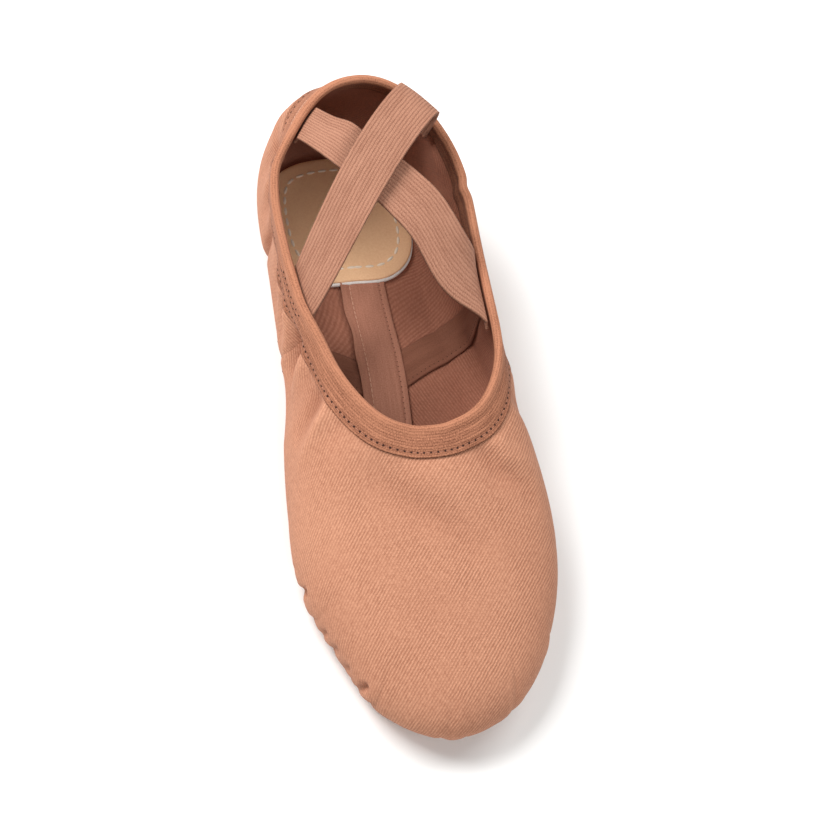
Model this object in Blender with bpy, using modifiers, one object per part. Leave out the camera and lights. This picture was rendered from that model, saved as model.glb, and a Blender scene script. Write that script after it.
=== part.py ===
"""Split-sole canvas dance slipper with crossed elastics, standing empty on its suede sole patches.

The toe points to -Y, +Z is up and the floor is z = 0.  Every piece is worked out from one function
of the upper: sections fan out round the foot, and each climbs from the seam under the foot, out to
the girdle, where the shoe is widest, and up to the mouth where the foot goes in.
"""

import math
from collections import namedtuple
from functools import lru_cache, partial

import bmesh
import bpy
import numpy as np
from mathutils import Vector
from mathutils.geometry import interpolate_bezier

MM = 0.001

# Driving sizes of the shoe.
LENGTH = 232 * MM
BALL_WIDTH = 86 * MM
HEEL_HEIGHT = 57 * MM
THROAT_HEIGHT = 44 * MM
ARCH_RISE = 5 * MM

# Thickness of each material, and the clearance between pieces that lie on each other.
CANVAS = 1.4 * MM
SUEDE = 1.5 * MM
PAD = 2.4 * MM
FOREFOOT_SOCK = 1.0 * MM
TAPE = 0.7 * MM
ELASTIC = 1.0 * MM
GAP = 0.3 * MM

# Spine under the foot, as shares of the length, where the sections fan out at heel and toe.
SPINE_HEEL = 0.13
SPINE_TOE = 0.78
# The arch lifts off the floor between these shares of the length.
ARCH_START = 0.27
ARCH_END = 0.58

BINDING_OUTSIDE = 9.5 * MM
BINDING_INSIDE = 8 * MM
STRAP_WIDTH = 17 * MM

PLEATS = 15
PLEAT_HEIGHT = 0.5 * MM
PLEAT_HALF_SPAN = 0.135
PLEAT_TOP = 2.15

# One row a section round half the shoe, heel to toe.  along and mouth_along are shares of the length,
# out, turn, mouth_out and sway shares of half the ball width, girdle a share of the heel height, and level
# runs from 0 at the throat's height to 1 at the heel's.  sway moves the mouth to one side of the sole.
# upright is the share of the wall's rise that leaves the girdle straight up, and ease_in and ease_up
# shape its arrival at the mouth.
Section = namedtuple(
    "Section", "along out girdle turn mouth_along mouth_out sway level upright ease_in ease_up")
SECTIONS = {
    "heel back": Section(0.000, 0.000, 0.34, 0.20, 0.044, 0.000, 0.01, 1.00, 0.33, 0.30, 0.34),
    "heel turn": Section(0.036, 0.490, 0.33, 0.18, 0.074, 0.385, 0.01, 0.90, 0.33, 0.30, 0.34),
    "heel side": Section(0.133, 0.715, 0.31, 0.17, 0.150, 0.675, 0.01, 0.52, 0.33, 0.30, 0.34),
    "waist": Section(0.300, 0.745, 0.30, 0.22, 0.284, 0.750, 0.02, 0.12, 0.33, 0.30, 0.34),
    "arch": Section(0.440, 0.835, 0.30, 0.24, 0.402, 0.725, 0.04, 0.06, 0.35, 0.40, 0.32),
    "joint": Section(0.580, 0.955, 0.27, 0.22, 0.492, 0.650, 0.06, 0.12, 0.40, 0.52, 0.27),
    "ball": Section(0.712, 1.000, 0.23, 0.21, 0.558, 0.440, 0.06, 0.12, 0.40, 0.58, 0.34),
    "toe corner": Section(0.860, 0.855, 0.23, 0.25, 0.583, 0.200, 0.05, 0.03, 0.40, 0.60, 0.42),
    "toe turn": Section(0.961, 0.515, 0.22, 0.40, 0.587, 0.105, 0.05, 0.00, 0.40, 0.61, 0.48),
    "toe tip": Section(1.000, 0.000, 0.22, 0.62, 0.588, 0.000, 0.05, 0.00, 0.40, 0.62, 0.50),
}

# Half outline of each flat piece, front to rear: shares of the shoe's length and of half the ball width.
Edge = namedtuple("Edge", "along out")
OUTLINES = {
    "outsole_forefoot": (
        Edge(0.893, 0.00), Edge(0.872, 0.38), Edge(0.808, 0.68), Edge(0.725, 0.765), Edge(0.660, 0.67),
        Edge(0.616, 0.49), Edge(0.603, 0.34), Edge(0.609, 0.17), Edge(0.613, 0.00)),
    "insole_forefoot": (
        Edge(0.875, 0.00), Edge(0.855, 0.36), Edge(0.800, 0.63), Edge(0.725, 0.71), Edge(0.650, 0.61),
        Edge(0.612, 0.40), Edge(0.604, 0.00)),
    "outsole_heel": (
        Edge(0.244, 0.00), Edge(0.240, 0.26), Edge(0.216, 0.44), Edge(0.140, 0.48), Edge(0.074, 0.36),
        Edge(0.052, 0.00)),
    "insole_heel": (
        Edge(0.265, 0.00), Edge(0.263, 0.28), Edge(0.240, 0.47), Edge(0.155, 0.53), Edge(0.078, 0.40),
        Edge(0.050, 0.00)),
}

# Canvas is left open under each sole patch: centre and half lengths as the shares above.
Window = namedtuple("Window", "centre half_long half_wide")
WINDOWS = {
    "window_forefoot": Window(0.750, 0.100, 0.52),
    "window_heel": Window(0.145, 0.055, 0.28),
}

# Each elastic is sewn inside the mouth at a front and a rear end.  around is a share of the way round
# from the back of the heel, seam the length sewn along the mouth, tab the depth sewn inside it, bow how
# far the elastic springs off the mouth, and lean how much it turns to its other end as it does.  sway is
# how far the middle of the elastic is drawn aside, so that the two lie close where they cross.
End = namedtuple("End", "around seam tab bow lean")
Strap = namedtuple("Strap", "front rear sway")
STRAPS = {
    "elastic_strap_over": Strap(
        End(0.804, 19 * MM, 9 * MM, 27 * MM, 0.35), End(0.054, 16 * MM, 9 * MM, 21.3 * MM, -0.67),
        Vector((-1.0, 3.7, -4.8)) * MM),
    "elastic_strap_under": Strap(
        End(0.210, 24 * MM, 3 * MM, 22 * MM, 0.40), End(0.941, 13 * MM, 4 * MM, 20 * MM, 0.60),
        Vector((0.6, -0.1, 2.8)) * MM),
}

Finish = namedtuple("Finish", "colour roughness")
FINISHES = {
    "canvas": Finish((0.61, 0.28, 0.18), 0.85),
    "binding": Finish((0.52, 0.23, 0.13), 0.75),
    "suede": Finish((0.39, 0.19, 0.06), 0.95),
    "insole": Finish((0.51, 0.28, 0.11), 0.80),
    "elastic": Finish((0.55, 0.26, 0.16), 0.80),
}

# Steps of the meshes.  The wall's rows lie closer together near the girdle, where it curves the most.
COARSE_COLUMNS = 26
COLUMNS_A_PLEAT = 3
FLAT_ROWS = 2
TURN_ROWS = 4
WALL_ROWS = 9
WALL_BUNCHING = 1.5
LINE_STEPS = 40
RIM_COLUMNS = 72
STRAP_STEPS = 24
OUTLINE_STEPS = 4
OVAL_SEGMENTS = 32
# Rows of the binding tape: -1 to 0 up the outside, 0 to 1 over the fold, 1 to 2 down the inside.
TAPE_ROWS = (-1, -0.5, -0.1, 0, 0.25, 0.5, 0.75, 1, 1.15, 2)
# Rows of the two sewn tabs of an elastic, and its strands from edge to edge.
FRONT_TAB_ROWS = (-1, -0.5)
REAR_TAB_ROWS = (1.5, 2)
STRANDS = (-0.5, 0, 0.5)

CUTTER_DEPTH = 4 * CANVAS
MERGE = 0.01 * MM
NUDGE = 1e-4

HALF_BALL = BALL_WIDTH / 2
SOLE_PLANE = SUEDE + GAP
STRAP_INSET = -(CANVAS + GAP + TAPE + 2 * GAP + ELASTIC / 2)
UP = Vector((0, 0, 1))


def station(along):
    """Y of a share of the length, counted from the back of the heel."""
    return LENGTH * (0.5 - along)


def closed_spline(knots, values):
    """Smooth curve through the rows of values, closed over a period of 1."""
    count = len(knots)
    step = np.diff(np.append(knots, 1.0))
    slope = (np.roll(values, -1, axis=0) - values) / step[:, None]
    system = np.zeros((count, count))
    for row in range(count):
        system[row, row - 1] = step[row - 1]
        system[row, row] = 2 * (step[row - 1] + step[row])
        system[row, (row + 1) % count] = step[row]
    bend = np.linalg.solve(system, 6 * (slope - np.roll(slope, 1, axis=0)))

    def at(around):
        share = around % 1.0
        row = int(np.searchsorted(knots, share, side="right")) - 1
        after = (row + 1) % count
        ahead = (share - knots[row]) / step[row]
        behind = 1 - ahead
        curve = (behind ** 3 - behind) * bend[row] + (ahead ** 3 - ahead) * bend[after]
        return behind * values[row] + ahead * values[after] + curve * step[row] ** 2 / 6

    return at


def ring_of_sections():
    """Spline through the sections of both sides, by the share of the way round the girdle."""
    half = list(SECTIONS.values())
    mirrored = [row._replace(out=-row.out, mouth_out=-row.mouth_out) for row in half[-2:0:-1]]
    rows = np.array(half + mirrored)
    plan = np.column_stack((rows[:, 0] * LENGTH, rows[:, 1] * HALF_BALL))
    chords = np.linalg.norm(np.roll(plan, -1, axis=0) - plan, axis=1)
    knots = np.concatenate(([0], np.cumsum(chords)[:-1])) / chords.sum()
    return closed_spline(knots, rows)


RING = ring_of_sections()


def sole_level(along):
    """Height of the canvas under the foot: flat at heel and forefoot, lifted at the arch."""
    share = (along - ARCH_START) / (ARCH_END - ARCH_START)
    if not 0 < share < 1:
        return SOLE_PLANE
    return SOLE_PLANE + ARCH_RISE * math.sin(math.pi * share) ** 2


@lru_cache(maxsize=None)
def wall_line(around):
    """Points up the wall from girdle to mouth, and the length of wall below each."""
    row = Section._make(RING(around))
    girdle = Vector((row.out * HALF_BALL, station(row.along), row.girdle * HEEL_HEIGHT))
    level = THROAT_HEIGHT + (HEEL_HEIGHT - THROAT_HEIGHT) * row.level
    mouth = Vector(((row.mouth_out + row.sway) * HALF_BALL, station(row.mouth_along), level))
    run = Vector((mouth.x - girdle.x, mouth.y - girdle.y, 0))
    rise = mouth.z - girdle.z
    leave = girdle + UP * rise * row.upright
    arrive = mouth - run * row.ease_in - UP * rise * row.ease_up
    points = np.array(interpolate_bezier(girdle, leave, arrive, mouth, LINE_STEPS))
    lengths = np.concatenate(([0], np.cumsum(np.linalg.norm(np.diff(points, axis=0), axis=1))))
    return points, lengths


def wall_point(around, share):
    """Point a share of the way up the wall from girdle to mouth."""
    points, lengths = wall_line(around)
    return Vector([np.interp(share * lengths[-1], lengths, points[:, axis]) for axis in range(3)])


def sole_point(around, flat_share, turn_share):
    """Point under the foot: across the flat from the spine, then up the turn of the sole's edge."""
    row = Section._make(RING(around))
    spine = Vector((0, station(min(max(row.along, SPINE_HEEL), SPINE_TOE))))
    run = Vector((row.out * HALF_BALL, station(row.along))) - spine
    turn = row.turn * HALF_BALL / run.length
    angle = turn_share * math.pi / 2
    plan = spine + run * ((1 - turn) * flat_share + turn * math.sin(angle))
    level = sole_level(0.5 - plan.y / LENGTH)
    rise = (row.girdle * HEEL_HEIGHT - level) * (1 - math.cos(angle))
    return Vector((plan.x, plan.y, level + rise))


def skin_point(around, climb):
    """Outer skin of the upper: climb 0 to 1 crosses the flat, 1 to 2 the turn and 2 to 3 the wall."""
    if climb <= 1:
        return sole_point(around, climb, 0)
    if climb <= 2:
        return sole_point(around, 1, climb - 1)
    return wall_point(around, climb - 2)


def skin_normal(around, climb):
    """Outward direction of the upper's skin."""
    low, high = max(climb - NUDGE, 0), min(climb + NUDGE, 3)
    across = skin_point(around + NUDGE, climb) - skin_point(around - NUDGE, climb)
    upward = skin_point(around, high) - skin_point(around, low)
    return upward.cross(across).normalized()


def on_wall(around, drop, lift):
    """Point a drop below the mouth along the wall, lifted off the outer skin."""
    climb = 3 - drop / wall_line(around)[1][-1]
    return skin_point(around, climb) + skin_normal(around, climb) * lift


def pleat_lift(around, climb):
    """Height of the gathers that fan out from the front of the forefoot patch."""
    side = (around - 0.5) / PLEAT_HALF_SPAN
    if abs(side) >= 1 or not 1 < climb < PLEAT_TOP:
        return 0
    fade = math.sin(math.pi * (climb - 1) / (PLEAT_TOP - 1)) * math.cos(math.pi * side / 2) ** 0.5
    return PLEAT_HEIGHT * fade * math.cos(math.pi * PLEATS * side)


def column_shares():
    """Shares of the way round at which the upper has an edge: close together at the pleats."""
    pleated = np.linspace(0.5 - PLEAT_HALF_SPAN, 0.5 + PLEAT_HALF_SPAN, PLEATS * COLUMNS_A_PLEAT + 1)
    before = np.linspace(0, pleated[0], COARSE_COLUMNS, endpoint=False)
    return np.concatenate((before, pleated, 1 - before[::-1]))


def climb_values():
    """Climbs at which the upper has an edge."""
    flat = np.linspace(0, 1, FLAT_ROWS, endpoint=False)
    turn = np.linspace(1, 2, TURN_ROWS, endpoint=False)
    wall = 2 + np.linspace(0, 1, WALL_ROWS + 1) ** WALL_BUNCHING
    return np.concatenate((flat, turn, wall))


def make_material(name):
    """Plain material of one finish."""
    finish = FINISHES[name]
    material = bpy.data.materials.new(name)
    material.use_nodes = True
    shader = material.node_tree.nodes["Principled BSDF"]
    shader.inputs["Base Color"].default_value = (*finish.colour, 1)
    shader.inputs["Roughness"].default_value = finish.roughness
    shader.inputs["Metallic"].default_value = 0
    return material


def add_object(name, mesh, collection, material=None):
    """Object of a mesh, in a collection, with its finish."""
    piece = bpy.data.objects.new(name, mesh)
    collection.objects.link(piece)
    if material:
        mesh.materials.append(material)
    return piece


def add_sheet(name, across, upward, place, thickness, offset, collection, material):
    """Wall of cloth: a grid whose points are placed by a function of its two edges, made thick."""
    grid = bmesh.new()
    columns, rows = len(across) - 1, len(upward) - 1
    bmesh.ops.create_grid(grid, x_segments=columns, y_segments=rows, size=0.5)
    for corner in grid.verts:
        column = round((corner.co.x + 0.5) * columns)
        row = round((corner.co.y + 0.5) * rows)
        corner.co = place(across[column], upward[row])
    bmesh.ops.remove_doubles(grid, verts=grid.verts, dist=MERGE)
    bmesh.ops.reverse_faces(grid, faces=grid.faces)
    mesh = bpy.data.meshes.new(name)
    grid.to_mesh(mesh)
    grid.free()
    mesh.shade_smooth()
    piece = add_object(name, mesh, collection, material)
    solidify = piece.modifiers.new("thickness", "SOLIDIFY")
    solidify.thickness = thickness
    solidify.offset = offset
    solidify.use_even_offset = True
    return piece


def add_plate(name, bottom, thickness, collection, material):
    """Flat piece of a smooth outline, lying at a height."""
    half = [Vector((edge.out * HALF_BALL, station(edge.along), 0)) for edge in OUTLINES[name]]
    mirrored = [Vector((-point.x, point.y, 0)) for point in half[-2:0:-1]]
    curve = bpy.data.curves.new(name, "CURVE")
    curve.dimensions = "2D"
    curve.fill_mode = "BOTH"
    curve.extrude = thickness / 2
    curve.resolution_u = OUTLINE_STEPS
    spline = curve.splines.new("BEZIER")
    spline.use_cyclic_u = True
    spline.bezier_points.add(len(half + mirrored) - 1)
    for knot, point in zip(spline.bezier_points, half + mirrored):
        knot.co = point
        knot.handle_left_type = knot.handle_right_type = "AUTO"
    piece = add_object(name, curve, collection, material)
    piece.location.z = bottom + thickness / 2
    return piece


def add_window(name, upper, collection):
    """Oval opening in the canvas under a sole patch."""
    window = WINDOWS[name]
    oval = bmesh.new()
    bmesh.ops.create_cone(oval, cap_ends=True, segments=OVAL_SEGMENTS, radius1=1, radius2=1, depth=1)
    size = Vector((window.half_wide * HALF_BALL, window.half_long * LENGTH, CUTTER_DEPTH))
    bmesh.ops.scale(oval, verts=oval.verts, vec=size)
    bmesh.ops.translate(oval, verts=oval.verts, vec=(0, station(window.centre), SOLE_PLANE + CANVAS / 2))
    mesh = bpy.data.meshes.new(name)
    oval.to_mesh(mesh)
    oval.free()
    cutter = add_object(name, mesh, collection)
    cutter.hide_render = True
    cutter.display_type = "WIRE"
    cut = upper.modifiers.new(name, "BOOLEAN")
    cut.operation = "DIFFERENCE"
    cut.object = cutter


def upper_place(around, climb):
    """Outer skin of the upper with its gathers."""
    return skin_point(around, climb) + skin_normal(around, climb) * pleat_lift(around, climb)


def binding_place(around, turn):
    """Middle of the binding tape: up the outside, over the edge of the canvas and down the inside."""
    outside = GAP + TAPE / 2
    inside = -CANVAS - outside
    if turn < 0:
        return on_wall(around, -turn * BINDING_OUTSIDE, outside)
    if turn > 1:
        return on_wall(around, (turn - 1) * BINDING_INSIDE, inside)
    edge = skin_point(around, 3)
    normal = skin_normal(around, 3)
    upward = (edge - skin_point(around, 3 - NUDGE)).normalized()
    radius = (outside - inside) / 2
    angle = math.pi * turn
    return edge + normal * (radius * math.cos(angle) - CANVAS / 2) + upward * radius * math.sin(angle)


def strap_end(end, across, aim):
    """Where one strand of an elastic meets the mouth, as a share round, a point, and a handle off it."""
    stretch = on_wall(end.around + NUDGE, 0, 0) - on_wall(end.around - NUDGE, 0, 0)
    toward_toe = 1 if end.around < 0.5 else -1
    around = end.around + toward_toe * across * end.seam * 2 * NUDGE / stretch.length
    middle = on_wall(end.around, 0, STRAP_INSET)
    upward = (middle - on_wall(end.around, MM, STRAP_INSET)).normalized()
    toward = (aim - middle).normalized()
    sideways = toward.cross(UP).normalized()
    sideways *= across * math.copysign(STRAP_WIDTH, -sideways.y)
    handle = middle + upward.lerp(toward, end.lean) * end.bow + sideways
    return around, on_wall(around, 0, STRAP_INSET), handle


def strap_place(strap, across, run):
    """Middle of an elastic: up inside the mouth, in a bow over the foot, and down inside again."""
    front, rear, sway = strap
    front_middle = on_wall(front.around, 0, STRAP_INSET)
    rear_middle = on_wall(rear.around, 0, STRAP_INSET)
    front_around, front_rim, front_handle = strap_end(front, across, rear_middle)
    rear_around, rear_rim, rear_handle = strap_end(rear, across, front_middle)
    if run < 0:
        return on_wall(front_around, -run * front.tab, STRAP_INSET)
    if run > 1:
        return on_wall(rear_around, (run - 1) * rear.tab, STRAP_INSET)
    ahead, behind = run, 1 - run
    return (front_rim * behind ** 3 + front_handle * 3 * behind ** 2 * ahead
            + rear_handle * 3 * behind * ahead ** 2 + rear_rim * ahead ** 3
            + sway * math.sin(math.pi * run) ** 2)


def main():
    """Build every piece of the slipper."""
    for leftover in list(bpy.data.objects):
        bpy.data.objects.remove(leftover, do_unlink=True)
    parts = bpy.data.collections.new("dance_slipper")
    cutters = bpy.data.collections.new("cutters")
    bpy.context.scene.collection.children.link(parts)
    bpy.context.scene.collection.children.link(cutters)
    finishes = {name: make_material(name) for name in FINISHES}

    columns = column_shares()
    upper = add_sheet("upper", columns, climb_values(), upper_place, CANVAS, -1, parts, finishes["canvas"])
    for name in WINDOWS:
        add_window(name, upper, cutters)

    rim = np.linspace(0, 1, RIM_COLUMNS + 1)
    add_sheet("collar_binding", rim, TAPE_ROWS, binding_place, TAPE, 0, parts, finishes["binding"])

    strap_rows = np.concatenate((FRONT_TAB_ROWS, np.linspace(0, 1, STRAP_STEPS + 1), REAR_TAB_ROWS))
    for name, strap in STRAPS.items():
        place = partial(strap_place, strap)
        add_sheet(name, STRANDS, strap_rows, place, ELASTIC, 0, parts, finishes["elastic"])

    inside_floor = SOLE_PLANE + CANVAS + GAP
    add_plate("outsole_forefoot", 0, SUEDE, parts, finishes["suede"])
    add_plate("outsole_heel", 0, SUEDE, parts, finishes["suede"])
    add_plate("insole_forefoot", inside_floor, FOREFOOT_SOCK, parts, finishes["canvas"])
    add_plate("insole_heel", inside_floor, PAD, parts, finishes["insole"])


main()
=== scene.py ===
"""Finished look of a split-sole canvas dance slipper with crossed elastics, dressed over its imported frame.

The toe points to -Y, the floor is z = 0 and sizes are in metres.  Every cloth piece follows one last: a place
on it is the share of the way round from the back of the heel, and the climb from the seam under the foot
(0) over the edge of the sole (1) and the girdle, where the shoe is widest (2), to the mouth (3).
"""

from __future__ import annotations

import logging
import math
from collections.abc import Sequence
from dataclasses import dataclass, field
from enum import Enum
from functools import cached_property
from typing import ClassVar, NamedTuple

import bmesh
import bpy
import numpy as np
from mathutils import Matrix, Vector
from mathutils.geometry import interpolate_bezier

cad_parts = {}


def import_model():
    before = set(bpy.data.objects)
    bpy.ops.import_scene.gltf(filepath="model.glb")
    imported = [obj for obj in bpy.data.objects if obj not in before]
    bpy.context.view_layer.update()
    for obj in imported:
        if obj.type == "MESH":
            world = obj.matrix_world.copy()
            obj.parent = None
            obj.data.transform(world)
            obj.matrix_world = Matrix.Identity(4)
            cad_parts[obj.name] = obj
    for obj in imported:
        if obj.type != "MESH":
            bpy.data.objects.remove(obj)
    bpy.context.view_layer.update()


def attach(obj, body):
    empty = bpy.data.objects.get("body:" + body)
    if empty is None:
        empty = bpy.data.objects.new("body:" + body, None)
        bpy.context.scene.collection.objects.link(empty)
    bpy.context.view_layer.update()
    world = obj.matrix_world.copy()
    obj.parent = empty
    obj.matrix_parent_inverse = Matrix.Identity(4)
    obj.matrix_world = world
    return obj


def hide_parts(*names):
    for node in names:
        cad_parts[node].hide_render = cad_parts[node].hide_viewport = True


LOG = logging.getLogger("slipper")

MM = 0.001
BODY = "root"
LAID = "laid_flat"
# Name of the point layer of painted shade (below zero) and lighter tone (above zero).
PAINTED_LIGHT_LAYER = "crease"
MERGE = 0.01 * MM
NUDGE = 1e-4
TINY = 1e-12
LINE_POINTS = 160
UP = np.array((0.0, 0.0, 1.0))

CANVAS = 1.4 * MM
SUEDE = 1.5 * MM
PAD = 2.4 * MM
SOCK = 1.0 * MM
TAPE = 0.7 * MM
ELASTIC = 1.0 * MM
GAP = 0.3 * MM
SOLE_PLANE = SUEDE + GAP

Colour = tuple[float, float, float]
Place = tuple[float, float]
Line = tuple[np.ndarray, np.ndarray]
Stitch = tuple[Vector, Vector, Vector]
Material = bpy.types.Material
Piece = bpy.types.Object
Tree = bpy.types.NodeTree
Socket = bpy.types.NodeSocket
Sockets = dict[str, Socket]
Value = float | Sequence[float] | Socket


class Section(NamedTuple):
    """One section of the last: shares of its length, half ball width and heel height."""

    along: float
    out: float
    girdle: float
    turn: float
    mouth_along: float
    mouth_out: float
    sway: float
    level: float
    upright: float
    ease_in: float
    ease_up: float


SECTIONS: dict[str, Section] = {
    "heel back": Section(0.000, 0.000, 0.34, 0.20, 0.044, 0.000, 0.01, 1.00, 0.33, 0.30, 0.34),
    "heel turn": Section(0.036, 0.490, 0.33, 0.18, 0.074, 0.385, 0.01, 0.90, 0.33, 0.30, 0.34),
    "heel side": Section(0.133, 0.715, 0.31, 0.17, 0.150, 0.675, 0.01, 0.52, 0.33, 0.30, 0.34),
    "waist": Section(0.300, 0.745, 0.30, 0.22, 0.284, 0.750, 0.02, 0.12, 0.33, 0.30, 0.34),
    "arch": Section(0.440, 0.835, 0.30, 0.24, 0.402, 0.725, 0.04, 0.06, 0.35, 0.40, 0.32),
    "joint": Section(0.580, 0.955, 0.27, 0.22, 0.492, 0.650, 0.06, 0.12, 0.40, 0.52, 0.27),
    "ball": Section(0.712, 1.000, 0.23, 0.21, 0.558, 0.440, 0.06, 0.12, 0.40, 0.58, 0.34),
    "toe corner": Section(0.860, 0.855, 0.23, 0.25, 0.583, 0.200, 0.05, 0.03, 0.40, 0.60, 0.42),
    "toe turn": Section(0.961, 0.515, 0.22, 0.40, 0.587, 0.105, 0.05, 0.00, 0.40, 0.61, 0.48),
    "toe tip": Section(1.000, 0.000, 0.22, 0.62, 0.588, 0.000, 0.05, 0.00, 0.40, 0.62, 0.50),
}


class Edge(NamedTuple):
    """One point of half an outline: shares of the last's length and of half its ball width."""

    along: float
    out: float


FOREFOOT_PATCH = (
    Edge(0.893, 0.00), Edge(0.872, 0.38), Edge(0.808, 0.68), Edge(0.725, 0.765), Edge(0.660, 0.67),
    Edge(0.616, 0.49), Edge(0.603, 0.34), Edge(0.609, 0.17), Edge(0.613, 0.00))
FOREFOOT_SOCK = (
    Edge(0.875, 0.00), Edge(0.855, 0.36), Edge(0.800, 0.63), Edge(0.725, 0.71), Edge(0.650, 0.61),
    Edge(0.612, 0.40), Edge(0.604, 0.00))
HEEL_PATCH = (
    Edge(0.244, 0.00), Edge(0.240, 0.26), Edge(0.216, 0.44), Edge(0.140, 0.48), Edge(0.074, 0.36),
    Edge(0.052, 0.00))
HEEL_SOCK = (
    Edge(0.265, 0.00), Edge(0.263, 0.28), Edge(0.240, 0.475), Edge(0.155, 0.580), Edge(0.076, 0.470),
    Edge(0.050, 0.00))
HEEL_FOAM = (
    Edge(0.265, 0.00), Edge(0.263, 0.28), Edge(0.240, 0.475), Edge(0.157, 0.565), Edge(0.080, 0.455),
    Edge(0.0545, 0.00))


class Wave(NamedTuple):
    """Sine wave: its size, how fast it runs and where it starts."""

    size: float
    rate: float
    shift: float = 0.0

    def at(self, where: np.ndarray | float) -> np.ndarray | float:
        """Height of the wave at a place, or at many."""
        return self.size * np.sin(self.rate * where + self.shift)


def bell(offset: np.ndarray, width: float) -> np.ndarray:
    """Smooth bump that is 1 at no offset and next to nothing two widths away."""
    return np.exp(-(offset / width) ** 2)


def run_lengths(points: np.ndarray) -> np.ndarray:
    """Length of a line up to each of its points."""
    return np.concatenate(([0], np.cumsum(np.linalg.norm(np.diff(points, axis=0), axis=1))))


def flat_grid(across: np.ndarray, along: np.ndarray) -> np.ndarray:
    """Flat place of every point of a straight tape, by its place across and along."""
    return np.stack(np.meshgrid(across, along, indexing="ij"), axis=2)


class ClosedSpline:
    """Smooth closed curve through rows of values, over a period of 1."""

    def __init__(self, values: np.ndarray, plan: np.ndarray) -> None:
        """Space the rows by the chords of their plan and work out the bend at each.

        Args:
            values: One row a knot.
            plan: Place of each knot, whose chords give the share of the way round.
        """
        chords = np.linalg.norm(np.roll(plan, -1, axis=0) - plan, axis=1)
        self.values = values
        self.knots = np.concatenate(([0], np.cumsum(chords)[:-1])) / chords.sum()
        self.step = step = np.diff(np.append(self.knots, 1.0))
        slope = (np.roll(values, -1, axis=0) - values) / step[:, None]
        count = len(values)
        system = np.zeros((count, count))
        for row in range(count):
            system[row, row - 1] = step[row - 1]
            system[row, row] = 2 * (step[row - 1] + step[row])
            system[row, (row + 1) % count] = step[row]
        self.bend = np.linalg.solve(system, 6 * (slope - np.roll(slope, 1, axis=0)))

    def __call__(self, share: np.ndarray | float) -> np.ndarray:
        """Values at one share of the way round, or a row of them at many."""
        share = np.asarray(share) % 1.0
        row = np.searchsorted(self.knots, share, side="right") - 1
        after = (row + 1) % len(self.knots)
        step = self.step[row][..., None]
        ahead = (share - self.knots[row])[..., None] / step
        behind = 1 - ahead
        curve = (behind ** 3 - behind) * self.bend[row] + (ahead ** 3 - ahead) * self.bend[after]
        return behind * self.values[row] + ahead * self.values[after] + curve * step ** 2 / 6


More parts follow.
